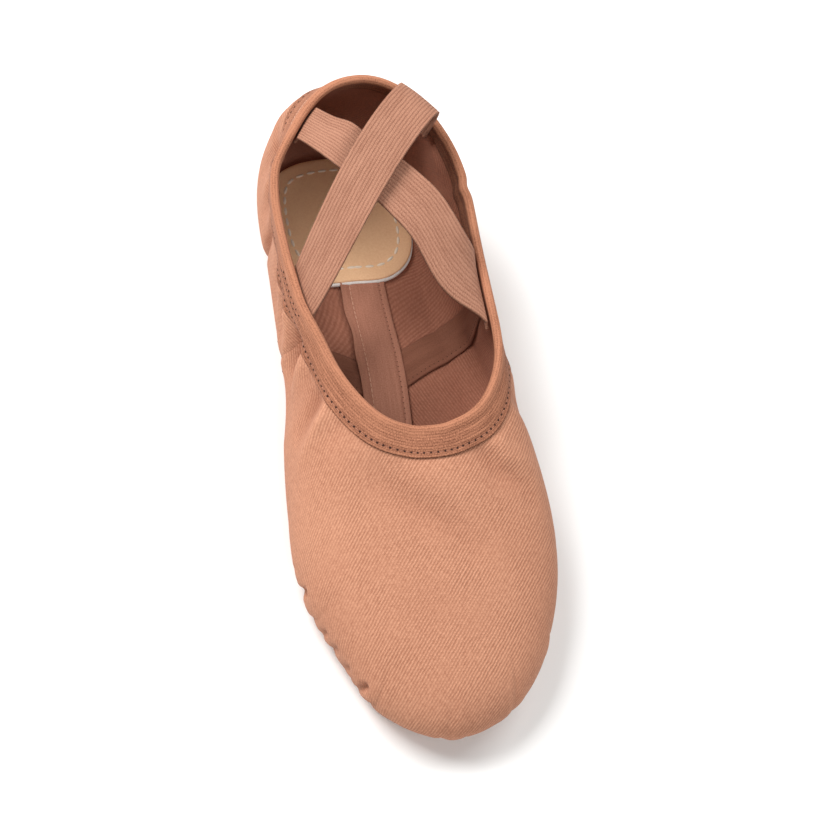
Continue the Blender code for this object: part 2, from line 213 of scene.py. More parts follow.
@dataclass(frozen=True)
class Last:
    """Shape that the canvas is drawn over."""

    length: float = 232 * MM
    half_ball: float = 43 * MM
    heel_height: float = 57 * MM
    throat_height: float = 44 * MM
    arch_rise: float = 5 * MM
    arch_start: float = 0.27
    arch_end: float = 0.58
    spine_heel: float = 0.13
    spine_toe: float = 0.78
    line_steps: int = 240

    @cached_property
    def ring(self) -> ClosedSpline:
        """Sections of both sides, by the share of the way round the girdle."""
        half = list(SECTIONS.values())
        mirrored = [row._replace(out=-row.out, mouth_out=-row.mouth_out) for row in half[-2:0:-1]]
        rows = np.array(half + mirrored)
        return ClosedSpline(rows, rows[:, :2] * (self.length, self.half_ball))

    @cached_property
    def walls(self) -> dict[float, tuple[np.ndarray, np.ndarray]]:
        """Wall lines worked out so far."""
        return {}

    def station(self, along: float) -> float:
        """Y of a share of the length, counted from the back of the heel."""
        return self.length * (0.5 - along)

    def sole_level(self, along: np.ndarray) -> np.ndarray:
        """Height of the canvas under the foot: flat at heel and forefoot, lifted at the arch."""
        share = np.clip((along - self.arch_start) / (self.arch_end - self.arch_start), 0, 1)
        return SOLE_PLANE + self.arch_rise * np.sin(np.pi * share) ** 2

    def wall(self, around: float) -> tuple[np.ndarray, np.ndarray]:
        """Points up the wall from girdle to mouth.

        Args:
            around: Share of the way round.

        Returns:
            The points, and the length of wall below each.
        """
        if around not in self.walls:
            row = Section(*self.ring(around))
            girdle = Vector((row.out * self.half_ball, self.station(row.along), row.girdle * self.heel_height))
            level = self.throat_height + (self.heel_height - self.throat_height) * row.level
            mouth_x = (row.mouth_out + row.sway) * self.half_ball
            mouth = Vector((mouth_x, self.station(row.mouth_along), level))
            run = Vector((mouth.x - girdle.x, mouth.y - girdle.y, 0))
            rise = mouth.z - girdle.z
            leave = girdle + Vector((0, 0, rise * row.upright))
            arrive = mouth - run * row.ease_in - Vector((0, 0, rise * row.ease_up))
            points = np.array(interpolate_bezier(girdle, leave, arrive, mouth, self.line_steps))
            self.walls[around] = points, run_lengths(points)
        return self.walls[around]

    def column(self, around: float, climbs: np.ndarray) -> np.ndarray:
        """Points of the outer skin up one column.

        Args:
            around: Share of the way round.
            climbs: Climb of each point.

        Returns:
            One point a climb.
        """
        row = Section(*self.ring(around))
        wall, lengths = self.wall(around)
        spine = np.array((0.0, self.station(np.clip(row.along, self.spine_heel, self.spine_toe))))
        run = np.array((row.out * self.half_ball, self.station(row.along))) - spine
        turn = row.turn * self.half_ball / np.linalg.norm(run)
        angle = np.clip(climbs - 1, 0, 1) * np.pi / 2
        reach = (1 - turn) * np.clip(climbs, 0, 1) + turn * np.sin(angle)
        plan = spine + run * reach[:, None]
        level = self.sole_level(0.5 - plan[:, 1] / self.length)
        rise = (row.girdle * self.heel_height - level) * (1 - np.cos(angle))
        low = np.column_stack((plan, level + rise))
        share = np.clip(climbs - 2, 0, 1) * lengths[-1]
        high = np.column_stack([np.interp(share, lengths, wall[:, axis]) for axis in range(3)])
        return np.where((climbs > 2)[:, None], high, low)

    def points(self, arounds: np.ndarray, climbs: np.ndarray) -> np.ndarray:
        """Points of the outer skin, one column for each share round.

        Args:
            arounds: Shares of the way round.
            climbs: Climbs of every column, or one row of climbs for each.

        Returns:
            Points by column and row.
        """
        rows = np.broadcast_to(climbs, (len(arounds), climbs.shape[-1]))
        return np.array([self.column(float(around), row) for around, row in zip(arounds, rows)])

    def drops(self, arounds: np.ndarray, drops: Sequence[float]) -> np.ndarray:
        """Climbs that lie these lengths of wall below the mouth, one row for each share round."""
        lengths = np.array([self.wall(float(around))[1][-1] for around in arounds])
        return 3 - np.asarray(drops)[None, :] / lengths[:, None]

    def laid_flat(self, arounds: np.ndarray, points: np.ndarray) -> np.ndarray:
        """Where points of the skin lie on the cloth before it was drawn over the last.

        Args:
            arounds: Share round of each column.
            points: Points by column and row, up to the mouth.

        Returns:
            Flat places by column and row.
        """
        ahead = self.ring(arounds + NUDGE)[:, :2] - self.ring(arounds - NUDGE)[:, :2]
        tangent = np.column_stack((ahead[:, 1] * self.half_ball, -ahead[:, 0] * self.length))
        tangent /= np.linalg.norm(tangent, axis=1)[:, None]
        outward = np.column_stack((-tangent[:, 1], tangent[:, 0]))
        steps = points[:, :-1] - points[:, 1:]
        sideways = np.einsum("ijk,ik->ij", steps[:, :, :2], tangent)
        down = np.sqrt(np.maximum((steps ** 2).sum(axis=2) - sideways ** 2, 0))
        moved = sideways[:, :, None] * tangent[:, None] + down[:, :, None] * outward[:, None]
        below = np.cumsum(moved[:, ::-1], axis=1)[:, ::-1]
        mouth = points[:, -1:, :2]
        return np.concatenate((mouth + below, mouth), axis=1)


class Fade(Enum):
    """How a fold runs out along its length."""

    NONE = "not at all"
    AT_END = "at its end"
    AT_BOTH = "at both ends"


class Profile(Enum):
    """Cross-section of a fold."""

    SOFT = "a rounded swell"
    FLAT = "a flat band"


@dataclass(frozen=True)
class Fold:
    """Soft ridge along a path over the canvas, or a trough where its height is below zero."""

    SQUARENESS: ClassVar[int] = 10

    path: tuple[Place, ...]
    width: float
    height: float
    fade: Fade = Fade.AT_END
    profile: Profile = Profile.SOFT
    bends_edge: bool = False

    def lift(self, skin: Skin) -> np.ndarray:
        """Height of the fold at every point of a skin."""
        arounds, climbs = np.array(self.path).T
        points = skin.sample(skin.flat, arounds, climbs)
        legs = np.diff(points, axis=0)
        lengths = np.linalg.norm(legs, axis=1)
        before = run_lengths(points)
        nearest = np.full(skin.flat.shape[:2], np.inf)
        reach = np.zeros(skin.flat.shape[:2])
        for point, leg, length, start in zip(points, legs, lengths, before):
            offset = skin.flat - point
            share = np.clip(offset @ leg / length ** 2, 0, 1)
            gap = np.linalg.norm(offset - share[..., None] * leg, axis=2)
            closer = gap < nearest
            nearest = np.where(closer, gap, nearest)
            reach = np.where(closer, (start + share * length) / before[-1], reach)
        section = bell(nearest, self.width)
        if self.profile is Profile.FLAT:
            section = 1 / (1 + (nearest / self.width) ** self.SQUARENESS)
        if self.fade is Fade.AT_END:
            section = section * np.cos(reach * np.pi / 2)
        if self.fade is Fade.AT_BOTH:
            section = section * np.sin(reach * np.pi)
        return self.height * section * (1 if self.bends_edge else skin.slack)


VAMP_CREST = ((0.7135, 2.83), (0.7105, 2.65), (0.7090, 2.45), (0.7075, 2.20))
FOLDS: dict[str, Fold] = {
    "left seam ridge": Fold(((0.766, 2.84), (0.766, 2.65), (0.767, 2.45), (0.767, 2.10)), 4.0 * MM, 2.7 * MM),
    "left seam valley": Fold(((0.780, 2.84), (0.780, 2.45), (0.780, 2.12)), 3.0 * MM, -3.0 * MM),
    "left vamp ridge": Fold(VAMP_CREST, 4.0 * MM, 1.3 * MM),
    "left vamp line": Fold(VAMP_CREST, 1.8 * MM, 0.9 * MM),
    "left vamp valley": Fold(((0.725, 2.82), (0.729, 2.55), (0.727, 2.42), (0.720, 2.28)), 4.6 * MM, -3.0 * MM),
    "left vamp hollow": Fold(((0.746, 2.80), (0.748, 2.20)), 5.5 * MM, -1.4 * MM),
    "left vamp tuck": Fold(((0.688, 2.86), (0.690, 2.60)), 3.5 * MM, -0.7 * MM),
    "left quarter valley": Fold(((0.787, 2.88), (0.784, 2.50), (0.782, 2.00)), 5.5 * MM, -3.8 * MM),
    "left quarter ridge": Fold(((0.808, 2.86), (0.801, 2.50), (0.795, 2.12), (0.791, 1.85)), 3.0 * MM, 2.8 * MM),
    "left quarter tuck": Fold(((0.818, 2.82), (0.814, 2.40), (0.808, 2.00)), 2.6 * MM, -1.6 * MM),
    "left quarter brow": Fold(((0.828, 2.82), (0.823, 2.40), (0.816, 2.00)), 3.4 * MM, 1.3 * MM),
    "left waist tuck": Fold(((0.845, 2.80), (0.840, 2.40), (0.829, 2.00)), 3.4 * MM, -1.4 * MM),
    "left mouth swell": Fold(((0.798, 3.00), (0.815, 3.00), (0.835, 3.00), (0.865, 3.00), (0.895, 3.00)),
                             13.0 * MM, 3.2 * MM, Fade.NONE, bends_edge=True),
    "left tack swell": Fold(((0.812, 2.66), (0.830, 2.66)), 7.0 * MM, 1.6 * MM, Fade.NONE, bends_edge=True),
    "left waist ridge": Fold(((0.891, 2.82), (0.884, 2.45), (0.873, 2.00)), 2.4 * MM, 1.7 * MM),
    "left waist notch": Fold(((0.882, 2.90), (0.877, 2.30), (0.875, 1.80), (0.875, 1.00)), 2.6 * MM, -2.8 * MM,
                             Fade.AT_BOTH),
    "left waist swell": Fold(((0.862, 2.82), (0.858, 2.30), (0.854, 1.90)), 5.0 * MM, 0.8 * MM),
    "left heel dimple": Fold(((0.900, 2.80), (0.893, 2.00)), 4.8 * MM, -2.2 * MM),
    "left heel ridge": Fold(((0.916, 2.82), (0.910, 2.50), (0.902, 2.10)), 2.6 * MM, 1.7 * MM),
    "left heel hollow": Fold(((0.930, 2.80), (0.924, 2.00)), 5.0 * MM, -2.2 * MM),
    "left edge trough": Fold(((0.985, 2.55), (0.950, 2.50), (0.910, 2.48), (0.865, 2.50)), 2.8 * MM, -1.0 * MM,
                             Fade.AT_BOTH),
    "left heel swell": Fold(((0.925, 2.55), (0.955, 2.60), (0.985, 2.60)), 12.0 * MM, 3.6 * MM, Fade.AT_BOTH,
                            bends_edge=True),
    "left heel tuck": Fold(((0.944, 2.84), (0.940, 2.20)), 3.5 * MM, -0.4 * MM),
    "left quarter swell": Fold(((0.800, 2.20), (0.830, 2.15), (0.865, 2.20)), 13.0 * MM, 1.5 * MM, Fade.AT_BOTH),
    "left side flat": Fold(((0.795, 2.15), (0.740, 2.15)), 10.0 * MM, -1.7 * MM, Fade.AT_BOTH),
    "vamp trough": Fold(((0.650, 2.84), (0.632, 2.80), (0.608, 2.75), (0.581, 2.75), (0.542, 2.75), (0.492, 2.70),
                         (0.467, 2.60), (0.435, 2.50)), 6.0 * MM, -1.1 * MM, Fade.AT_BOTH),
    "vamp swell": Fold(((0.580, 2.85), (0.530, 2.85), (0.456, 2.79), (0.400, 2.80)), 8.0 * MM, 0.8 * MM,
                       Fade.AT_BOTH),
    "vamp left swell": Fold(((0.664, 2.84), (0.650, 2.40)), 8.0 * MM, 0.8 * MM),
    "vamp right trough": Fold(((0.382, 2.86), (0.374, 2.70), (0.357, 2.52), (0.358, 2.35)), 4.2 * MM, -1.5 * MM),
    "vamp right ridge": Fold(((0.362, 2.84), (0.352, 2.70), (0.337, 2.50), (0.330, 2.30)), 5.0 * MM, 1.2 * MM),
    "right ball swell": Fold(((0.275, 2.60), (0.319, 2.40), (0.339, 2.22), (0.370, 2.10), (0.410, 2.05)),
                             17.0 * MM, 2.4 * MM, Fade.AT_BOTH),
    "right waist flat": Fold(((0.070, 2.40), (0.120, 2.40), (0.180, 2.40)), 14.0 * MM, -1.1 * MM, Fade.AT_BOTH),
    "right shoulder valley": Fold(((0.290, 2.84), (0.285, 2.20)), 4.5 * MM, -1.3 * MM),
    "right vamp ridge": Fold(((0.266, 2.84), (0.262, 2.20)), 4.5 * MM, 1.3 * MM),
    "right seam valley": Fold(((0.219, 2.86), (0.210, 2.45), (0.203, 2.10), (0.197, 1.60)), 4.0 * MM, -2.0 * MM),
    "right seam ridge": Fold(((0.236, 2.86), (0.228, 2.50), (0.224, 2.10)), 4.5 * MM, 1.4 * MM),
    "right quarter ridge": Fold(((0.182, 2.82), (0.178, 1.90)), 4.0 * MM, 1.4 * MM),
    "right waist valley": Fold(((0.160, 2.82), (0.158, 1.95)), 4.0 * MM, -1.6 * MM),
    "right waist ridge": Fold(((0.143, 2.80), (0.146, 1.95)), 4.0 * MM, 1.2 * MM),
    "right heel crease": Fold(((0.124, 2.98), (0.116, 2.20)), 2.4 * MM, -0.9 * MM, bends_edge=True),
    "right heel ridge": Fold(((0.112, 2.86), (0.104, 2.15)), 4.0 * MM, 1.0 * MM),
    "right heel hollow": Fold(((0.090, 2.85), (0.082, 2.05)), 5.0 * MM, -1.1 * MM),
    "left toe flat": Fold(((0.630, 2.05), (0.595, 2.00), (0.560, 2.00)), 11.0 * MM, -1.3 * MM, Fade.AT_BOTH),
    "left toe swell": Fold(((0.690, 1.90), (0.650, 1.80), (0.615, 1.75)), 9.0 * MM, 0.9 * MM, Fade.AT_BOTH),
    "right toe flat": Fold(((0.510, 2.00), (0.470, 2.00), (0.420, 2.00)), 10.0 * MM, -1.0 * MM, Fade.AT_BOTH),
    "left toe pinch": Fold(((0.640, 2.00), (0.650, 1.45)), 1.6 * MM, -2.4 * MM),
    "left tip pinch": Fold(((0.569, 2.03), (0.575, 1.45)), 1.5 * MM, -2.2 * MM),
    "left side pinch": Fold(((0.612, 1.97), (0.618, 1.40)), 1.5 * MM, -1.4 * MM),
    "left scallop": Fold(((0.600, 2.00), (0.604, 1.50)), 1.5 * MM, -1.2 * MM),
    "left edge scallop": Fold(((0.586, 2.00), (0.591, 1.50)), 1.5 * MM, -1.2 * MM),
}


@dataclass(frozen=True)
class Gathers:
    """Pleats that draw the canvas in round the front of the forefoot patch."""

    count: int = 17
    half_span: float = 0.165
    height: float = 3.6 * MM
    low: float = 0.78
    high: float = 2.25
    uneven: float = 0.55
    lean: float = 0.5
    skew: float = 0.72
    roundness: float = 0.45
    rest_level: float = 0.72
    climb_curve: float = 0.55
    slow_wander: Wave = Wave(0.25, 5.3, 0.8)
    fast_wander: Wave = Wave(0.12, 13.1)
    reach_wave: Wave = Wave(0.5, 2.4, 0.6)

    def lift(self, around: np.ndarray, climb: np.ndarray) -> np.ndarray:
        """Height of the pleats by the share round and the climb."""
        side = (around - 0.5) / self.half_span
        wander = self.slow_wander.at(side) + self.fast_wander.at(side)
        phase = self.count * (side + 1) / 2 + wander + self.lean * np.clip(climb - 1, 0, 2) ** 2
        reach = self.high - self.uneven * (0.5 + self.reach_wave.at(phase))
        share = np.clip((climb - self.low) / (reach - self.low), 0, 1)
        fade = np.sin(np.pi * share ** self.climb_curve) * np.sqrt(np.clip(1 - side ** 2, 0, 1))
        puff = np.sin(np.pi * (phase % 1.0) ** self.skew) ** self.roundness
        return self.height * fade * (puff - self.rest_level)


@dataclass(frozen=True)
class ArchSeam:
    """Seam from the centre of the arch out under the foot and up the wall, between vamp and quarter."""

    rear: float = 0.1932
    rear_climb: float = 1.8
    bend: float = 0.0093
    left_lead: float = 0.0134
    lead_low: float = 1.2
    lead_high: float = 2.4
    top: float = 2.85
    centre: tuple[Place, Place] = ((0.2740, 0.0), (0.1440, 0.0))
    allowance: float = 0.30 * MM
    allowance_half: float = 5.6 * MM
    sunk: float = 0.60 * MM
    sunk_half: float = 0.9 * MM
    fold_low: float = 0.05
    fold_places: int = 16

    @property
    def foot(self) -> float:
        """Share round of the seam where it crosses the edge of the sole, on the +X side."""
        return float(self.around(np.array(1.0), 1))

    def around(self, climb: np.ndarray, side: int) -> np.ndarray:
        """Share round of the seam by the climb, counted on the -X side from the heel the other way.

        Args:
            climb: Climbs.
            side: 1 for +X and -1 for -X.

        Returns:
            A share for each climb.
        """
        lead = np.clip((climb - self.lead_low) / (self.lead_high - self.lead_low), 0, 1)
        ahead = self.left_lead * lead ** 2 * (3 - 2 * lead) if side < 0 else 0.0
        return self.rear + self.bend * (self.rear_climb - climb) ** 2 + ahead

    def path(self, side: int, shift: float = 0.0, low: float = 0.02, count: int = 48) -> tuple[Place, ...]:
        """Places along the seam, or along a line beside it.

        Args:
            side: 1 for +X and -1 for -X.
            shift: Share round from the seam to the line.
            low: Climb that it starts from.
            count: Number of places.

        Returns:
            Places from under the foot up to the mouth.
        """
        climbs = np.linspace(low, self.top, count)
        arounds = self.around(climbs, side) + shift
        return tuple(zip(arounds if side > 0 else 1 - arounds, climbs))

    def folds(self) -> list[Fold]:
        """Raised allowances and the sunk line of the seams under the arch, on both sides."""
        folds = []
        for side in (1, -1):
            centre = tuple((around if side > 0 else 1 - around, climb) for around, climb in self.centre)
            for path in (centre, self.path(side, low=self.fold_low, count=self.fold_places)):
                folds.append(Fold(path, self.allowance_half, self.allowance, Fade.NONE, Profile.FLAT))
                folds.append(Fold(path, self.sunk_half, -self.sunk, Fade.NONE))
        return folds


class Skin:
    """Canvas over the last with its folds and gathers, sampled closely enough for every piece on it."""

    held = 6 * MM
    eased = 8 * MM
    quarter_columns = 78
    side_columns = 56
    toe_columns = 301
    flat_rows = 22
    turn_rows = 32
    wall_rows = 101
    search_steps = 400
    moved_span = 0.06
    narrow = 6.1 * MM
    full_crease = 2.6 * MM
    pleat_crease = 0.8

    def __init__(self, last: Last, folds: Sequence[Fold], gathers: Gathers, seam: ArchSeam) -> None:
        """Sample the last and lay the folds on it.

        Args:
            last: Shape under the canvas.
            folds: Ridges and troughs.
            gathers: Pleats round the toe.
            seam: Where the quarters, whose weave lies at another angle, meet the vamp.
        """
        self.last = last
        toe = np.linspace(0.5 - gathers.half_span, 0.5 + gathers.half_span, self.toe_columns)
        quarter = np.linspace(0, seam.foot, self.quarter_columns, endpoint=False)
        side = np.concatenate((quarter, np.linspace(seam.foot, toe[0], self.side_columns, endpoint=False)))
        self.arounds = np.concatenate((side, toe, 1 - side[::-1]))
        flat = np.linspace(0, 1, self.flat_rows, endpoint=False)
        turn = np.linspace(1, 2, self.turn_rows, endpoint=False)
        self.climbs = np.concatenate((flat, turn, np.linspace(2, 3, self.wall_rows)))
        wide = np.concatenate(([self.arounds[-2] - 1], self.arounds, [self.arounds[1] + 1]))
        points = last.points(wide, self.climbs)
        across = points[2:] - points[:-2]
        self.points = points[1:-1]
        normals = np.cross(np.gradient(self.points, axis=1), across)
        size = np.linalg.norm(normals, axis=2)[..., None]
        self.normals = np.where(size > TINY, normals / np.maximum(size, TINY), -UP)
        self.flat = last.laid_flat(self.arounds, self.points)
        steps = np.linalg.norm(np.diff(self.points, axis=1), axis=2)
        below = np.concatenate((np.cumsum(steps[:, ::-1], axis=1)[:, ::-1], np.zeros((len(steps), 1))), axis=1)
        slack = np.clip((below - self.held) / self.eased, 0, 1)
        self.slack = slack ** 2 * (3 - 2 * slack)
        pleats = gathers.lift(self.arounds[:, None], self.climbs[None, :])
        lifts = [fold.lift(self) for fold in folds]
        self.lift = pleats + sum(lifts)
        # Narrow folds and pleats set the crease table: painted shade in the creases, a lighter tone on the
        # ridges.
        narrow = sum(lift for fold, lift in zip(folds, lifts) if fold.width < self.narrow)
        self.crease = np.clip((narrow + self.pleat_crease * pleats) / self.full_crease, -1, 1)

    def along_seam(self, seam: ArchSeam) -> np.ndarray:
        """Shares round, by column and row, with one column on each side moved on to the arch seam."""
        near = np.minimum(self.arounds, 1 - self.arounds)
        side = np.where(self.arounds < 0.5, 1, -1)
        share = np.cos(np.clip(np.abs(near - seam.foot) / self.moved_span, 0, 1) * np.pi / 2) ** 2
        right, left = (seam.around(self.climbs, way) - seam.foot for way in (1, -1))
        moved = np.where((side > 0)[:, None], right[None, :], -left[None, :]) * share[:, None]
        return np.clip(self.arounds[:, None] + moved, 0, 1)

    def sample(self, table: np.ndarray, around: np.ndarray, climb: np.ndarray) -> np.ndarray:
        """Value of one of the skin's tables at places between its samples.

        Args:
            table: Values by column and row.
            around: Shares of the way round.
            climb: Climbs.

        Returns:
            A value for each place.
        """
        around, climb = np.broadcast_arrays(np.asarray(around) % 1.0, np.asarray(climb))
        column = np.clip(np.searchsorted(self.arounds, around, "right") - 1, 0, len(self.arounds) - 2)
        row = np.clip(np.searchsorted(self.climbs, climb, "right") - 1, 0, len(self.climbs) - 2)
        ahead = (around - self.arounds[column]) / (self.arounds[column + 1] - self.arounds[column])
        above = (climb - self.climbs[row]) / (self.climbs[row + 1] - self.climbs[row])
        if table.ndim == 3:
            ahead, above = ahead[..., None], above[..., None]
        low = table[column, row] * (1 - ahead) + table[column + 1, row] * ahead
        high = table[column, row + 1] * (1 - ahead) + table[column + 1, row + 1] * ahead
        return low * (1 - above) + high * above

    def at(self, arounds: np.ndarray, climbs: np.ndarray, offset: np.ndarray | float) -> np.ndarray:
        """Points off the canvas's outer face.

        Args:
            arounds: Share round of each column.
            climbs: Climbs of every column, or one row of climbs for each.
            offset: Distance off the face, outwards.

        Returns:
            Points by column and row.
        """
        columns = np.broadcast_to(np.asarray(arounds)[:, None], (len(arounds), climbs.shape[-1]))
        normals = self.sample(self.normals, columns, climbs)
        lift = self.sample(self.lift, columns, climbs) + offset
        return self.last.points(arounds, climbs) + normals * np.asarray(lift)[..., None]

    def line(self, path: Sequence[Place], offset: float) -> Line:
        """Line on the canvas through a few places.

        Args:
            path: Share round and climb of each place.
            offset: Distance off the outer face.

        Returns:
            The points, and the outward direction at each.
        """
        knots = np.linspace(0, 1, len(path))
        shares = np.linspace(0, 1, LINE_POINTS)
        around, climb = (np.interp(shares, knots, [place[axis] for place in path]) for axis in (0, 1))
        points = self.at(around, climb[:, None], offset)[:, 0]
        return points, self.sample(self.normals, around, climb)

    def under(self, out: float, y: float) -> Place:
        """Share round and climb of a place on the flat under the foot, this far out from its centre line."""
        arounds = np.linspace(0, 0.5, self.search_steps)
        rows = self.last.ring(arounds)
        around = float(np.interp(0.5 - y / self.last.length, rows[:, 0], arounds))
        row = Section(*self.last.ring(around))
        flat = (row.out - row.turn) * self.last.half_ball
        return (around if out >= 0 else 1 - around), abs(out) / flat


def evenly(points: np.ndarray, normals: np.ndarray, pitch: float) -> list[Stitch]:
    """Places at an even pitch along a line.

    Args:
        points: Points of the line.
        normals: Outward direction at each point.
        pitch: Distance between places.

    Returns:
        Place, direction along the line and outward direction, for each.
    """
    lengths = run_lengths(points)
    wanted = np.arange(pitch / 2, lengths[-1], pitch)

    def between(table: np.ndarray, where: np.ndarray) -> np.ndarray:
        """Rows of a table at lengths along the line."""
        return np.column_stack([np.interp(where, lengths, table[:, axis]) for axis in range(3)])

    near = pitch / 8
    along = between(points, wanted + near) - between(points, wanted - near)
    rows = zip(between(points, wanted), along, between(normals, wanted))
    return [(Vector(place), Vector(way).normalized(), Vector(out).normalized()) for place, way, out in rows]


def add_object(name: str, data: bpy.types.ID) -> Piece:
    """Add an object to the scene."""
    added = bpy.data.objects.new(name, data)
    bpy.context.scene.collection.objects.link(added)
    return added


def mesh_from(name: str, shape: bmesh.types.BMesh) -> bpy.types.Mesh:
    """Mesh made from a shape, which is freed."""
    mesh = bpy.data.meshes.new(name)
    shape.to_mesh(mesh)
    shape.free()
    return mesh


def cloth_sheet(name: str, points: np.ndarray, laid: np.ndarray, inward: bool = False,
                crease: np.ndarray | None = None) -> Piece:
    """Sheet of cloth: a grid moved on to a table of points, with the flat cloth as its UV map.

    Args:
        name: Name of the piece.
        points: Points by column and row.
        laid: Flat place of each point, in metres.
        inward: True if the sheet shows its inner face.
        crease: Painted shade (below zero) and lighter tone (above zero) of each point, if the sheet has any.

    Returns:
        The piece.
    """
    columns, rows = points.shape[0] - 1, points.shape[1] - 1
    grid = bmesh.new()
    bmesh.ops.create_grid(grid, x_segments=columns, y_segments=rows, size=0.5)
    mesh = bpy.data.meshes.new(name)
    grid.to_mesh(mesh)
    corners = np.empty(len(mesh.vertices) * 3, np.float32)
    mesh.vertices.foreach_get("co", corners)
    corners = corners.reshape(-1, 3)
    column = np.rint((corners[:, 0] + 0.5) * columns).astype(int)
    row = np.rint((corners[:, 1] + 0.5) * rows).astype(int)
    mesh.vertices.foreach_set("co", points[column, row].astype(np.float32).ravel())
    loops = np.empty(len(mesh.loops), np.int32)
    mesh.loops.foreach_get("vertex_index", loops)
    layer = mesh.uv_layers.new(name=LAID)
    layer.data.foreach_set("uv", laid[column, row][loops].astype(np.float32).ravel())
    if crease is not None:
        depths = mesh.attributes.new(PAINTED_LIGHT_LAYER, "FLOAT", "POINT")
        depths.data.foreach_set("value", crease[column, row].astype(np.float32))
    grid.clear()
    grid.from_mesh(mesh)
    bmesh.ops.remove_doubles(grid, verts=grid.verts, dist=MERGE)
    if not inward:
        bmesh.ops.reverse_faces(grid, faces=grid.faces)
    grid.to_mesh(mesh)
    grid.free()
    mesh.shade_smooth()
    return add_object(name, mesh)


def make_thick(piece: Piece, thickness: float) -> None:
    """Give a sheet its thickness, half to each side."""
    solidify = piece.modifiers.new("thickness", "SOLIDIFY")
    solidify.thickness = thickness
    solidify.offset = 0
    solidify.use_even_offset = True


def fit(piece: Piece, material: Material, slot: str, *nodes: str) -> None:
    """Give a piece its material, and its place in the frame.

    Args:
        piece: The piece.
        material: Its finish.
        slot: Material slot of the record that it takes its finish from; not used.
        *nodes: Solids that it stands for.
    """
    piece.data.materials.append(material)
    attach(piece, BODY)
    if nodes:
        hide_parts(*nodes)
    LOG.info("%s: %d faces", piece.name, len(piece.data.polygons))


@dataclass
class Graph:
    """Nodes of one material or group, added and joined a line at a time."""

    tree: Tree

    def feed(self, socket: Socket, value: Value) -> None:
        """Link a socket to another, or set its value."""
        if isinstance(value, Socket):
            self.tree.links.new(value, socket)
        else:
            socket.default_value = value

    def node(self, kind: str, inputs: dict[str, Value], **settings: object) -> bpy.types.Node:
        """Add a node.

        Args:
            kind: Type of the node.
            inputs: Value or link of each input.
            **settings: Properties of the node.

        Returns:
            The node.
        """
        node = self.tree.nodes.new(kind)
        for name, value in settings.items():
            setattr(node, name, value)
        for name, value in inputs.items():
            self.feed(node.inputs[name], value)
        return node

    def math(self, operation: str, *values: Value) -> Socket:
        """Result of a sum on one, two or three values."""
        node = self.tree.nodes.new("ShaderNodeMath")
        node.operation = operation
        for socket, value in zip(node.inputs, values):
            self.feed(socket, value)
        return node.outputs[0]

    def mix(self, share: Value, first: Value, second: Value, blend: str = "MIX") -> Socket:
        """Colour between two colours, or one laid over the other by another rule."""
        node = self.tree.nodes.new("ShaderNodeMix")
        node.data_type = "RGBA"
        node.blend_type = blend
        self.feed(node.inputs[0], share)
        self.feed(node.inputs[6], first)
        self.feed(node.inputs[7], second)
        return node.outputs[2]

    def scaled(self, value: Value, factor: Value, plus: Value = 0.0) -> Socket:
        """A value times a factor, plus another value."""
        return self.math("MULTIPLY_ADD", value, factor, plus)

    def sine(self, value: Value, rate: float) -> Socket:
        """Sine of a value times a rate."""
        return self.math("SINE", self.math("MULTIPLY", value, rate))

    def centred(self, value: Value) -> Socket:
        """A value from 0 to 1, moved to lie about zero."""
        return self.math("SUBTRACT", value, 0.5)

    def noise(self, place: Value, scale: Value, detail: float = 2.0) -> Socket:
        """Even noise from 0 to 1."""
        inputs = {"Vector": place, "Scale": scale, "Detail": detail}
        return self.node("ShaderNodeTexNoise", inputs).outputs["Fac"]

    def crease(self) -> Socket:
        """Painted shade (below zero) and lighter tone (above zero) from the piece's crease layer."""
        return self.node("ShaderNodeAttribute", {}, attribute_name=PAINTED_LIGHT_LAYER).outputs["Fac"]

    def where(self) -> Socket:
        """Place on the piece."""
        return self.node("ShaderNodeTexCoord", {}).outputs["Object"]


class Weave(Enum):
    """Pattern groups that the finishes share."""

    TWILL = "twill weave"
    CORD = "corded weave"
    NAP = "short nap"


def new_group(weave: Weave, values: Sequence[str], outputs: Sequence[str]) -> tuple[Graph, Sockets, Sockets]:
    """Empty pattern group that takes a place and some values.

    Args:
        weave: Which pattern.
        values: Name of each value that it takes beside the place.
        outputs: Name of each value that it puts out.

    Returns:
        The graph, the inputs by name, and the sockets to feed by name.
    """
    tree = bpy.data.node_groups.new(weave.value, "ShaderNodeTree")
    tree.interface.new_socket("Place", in_out="INPUT", socket_type="NodeSocketVector")
    for names, way in ((values, "INPUT"), (outputs, "OUTPUT")):
        for name in names:
            tree.interface.new_socket(name, in_out=way, socket_type="NodeSocketFloat")
    given = tree.nodes.new("NodeGroupInput").outputs
    put = tree.nodes.new("NodeGroupOutput").inputs
    return Graph(tree), {name: given[name] for name in ("Place", *values)}, {name: put[name] for name in outputs}


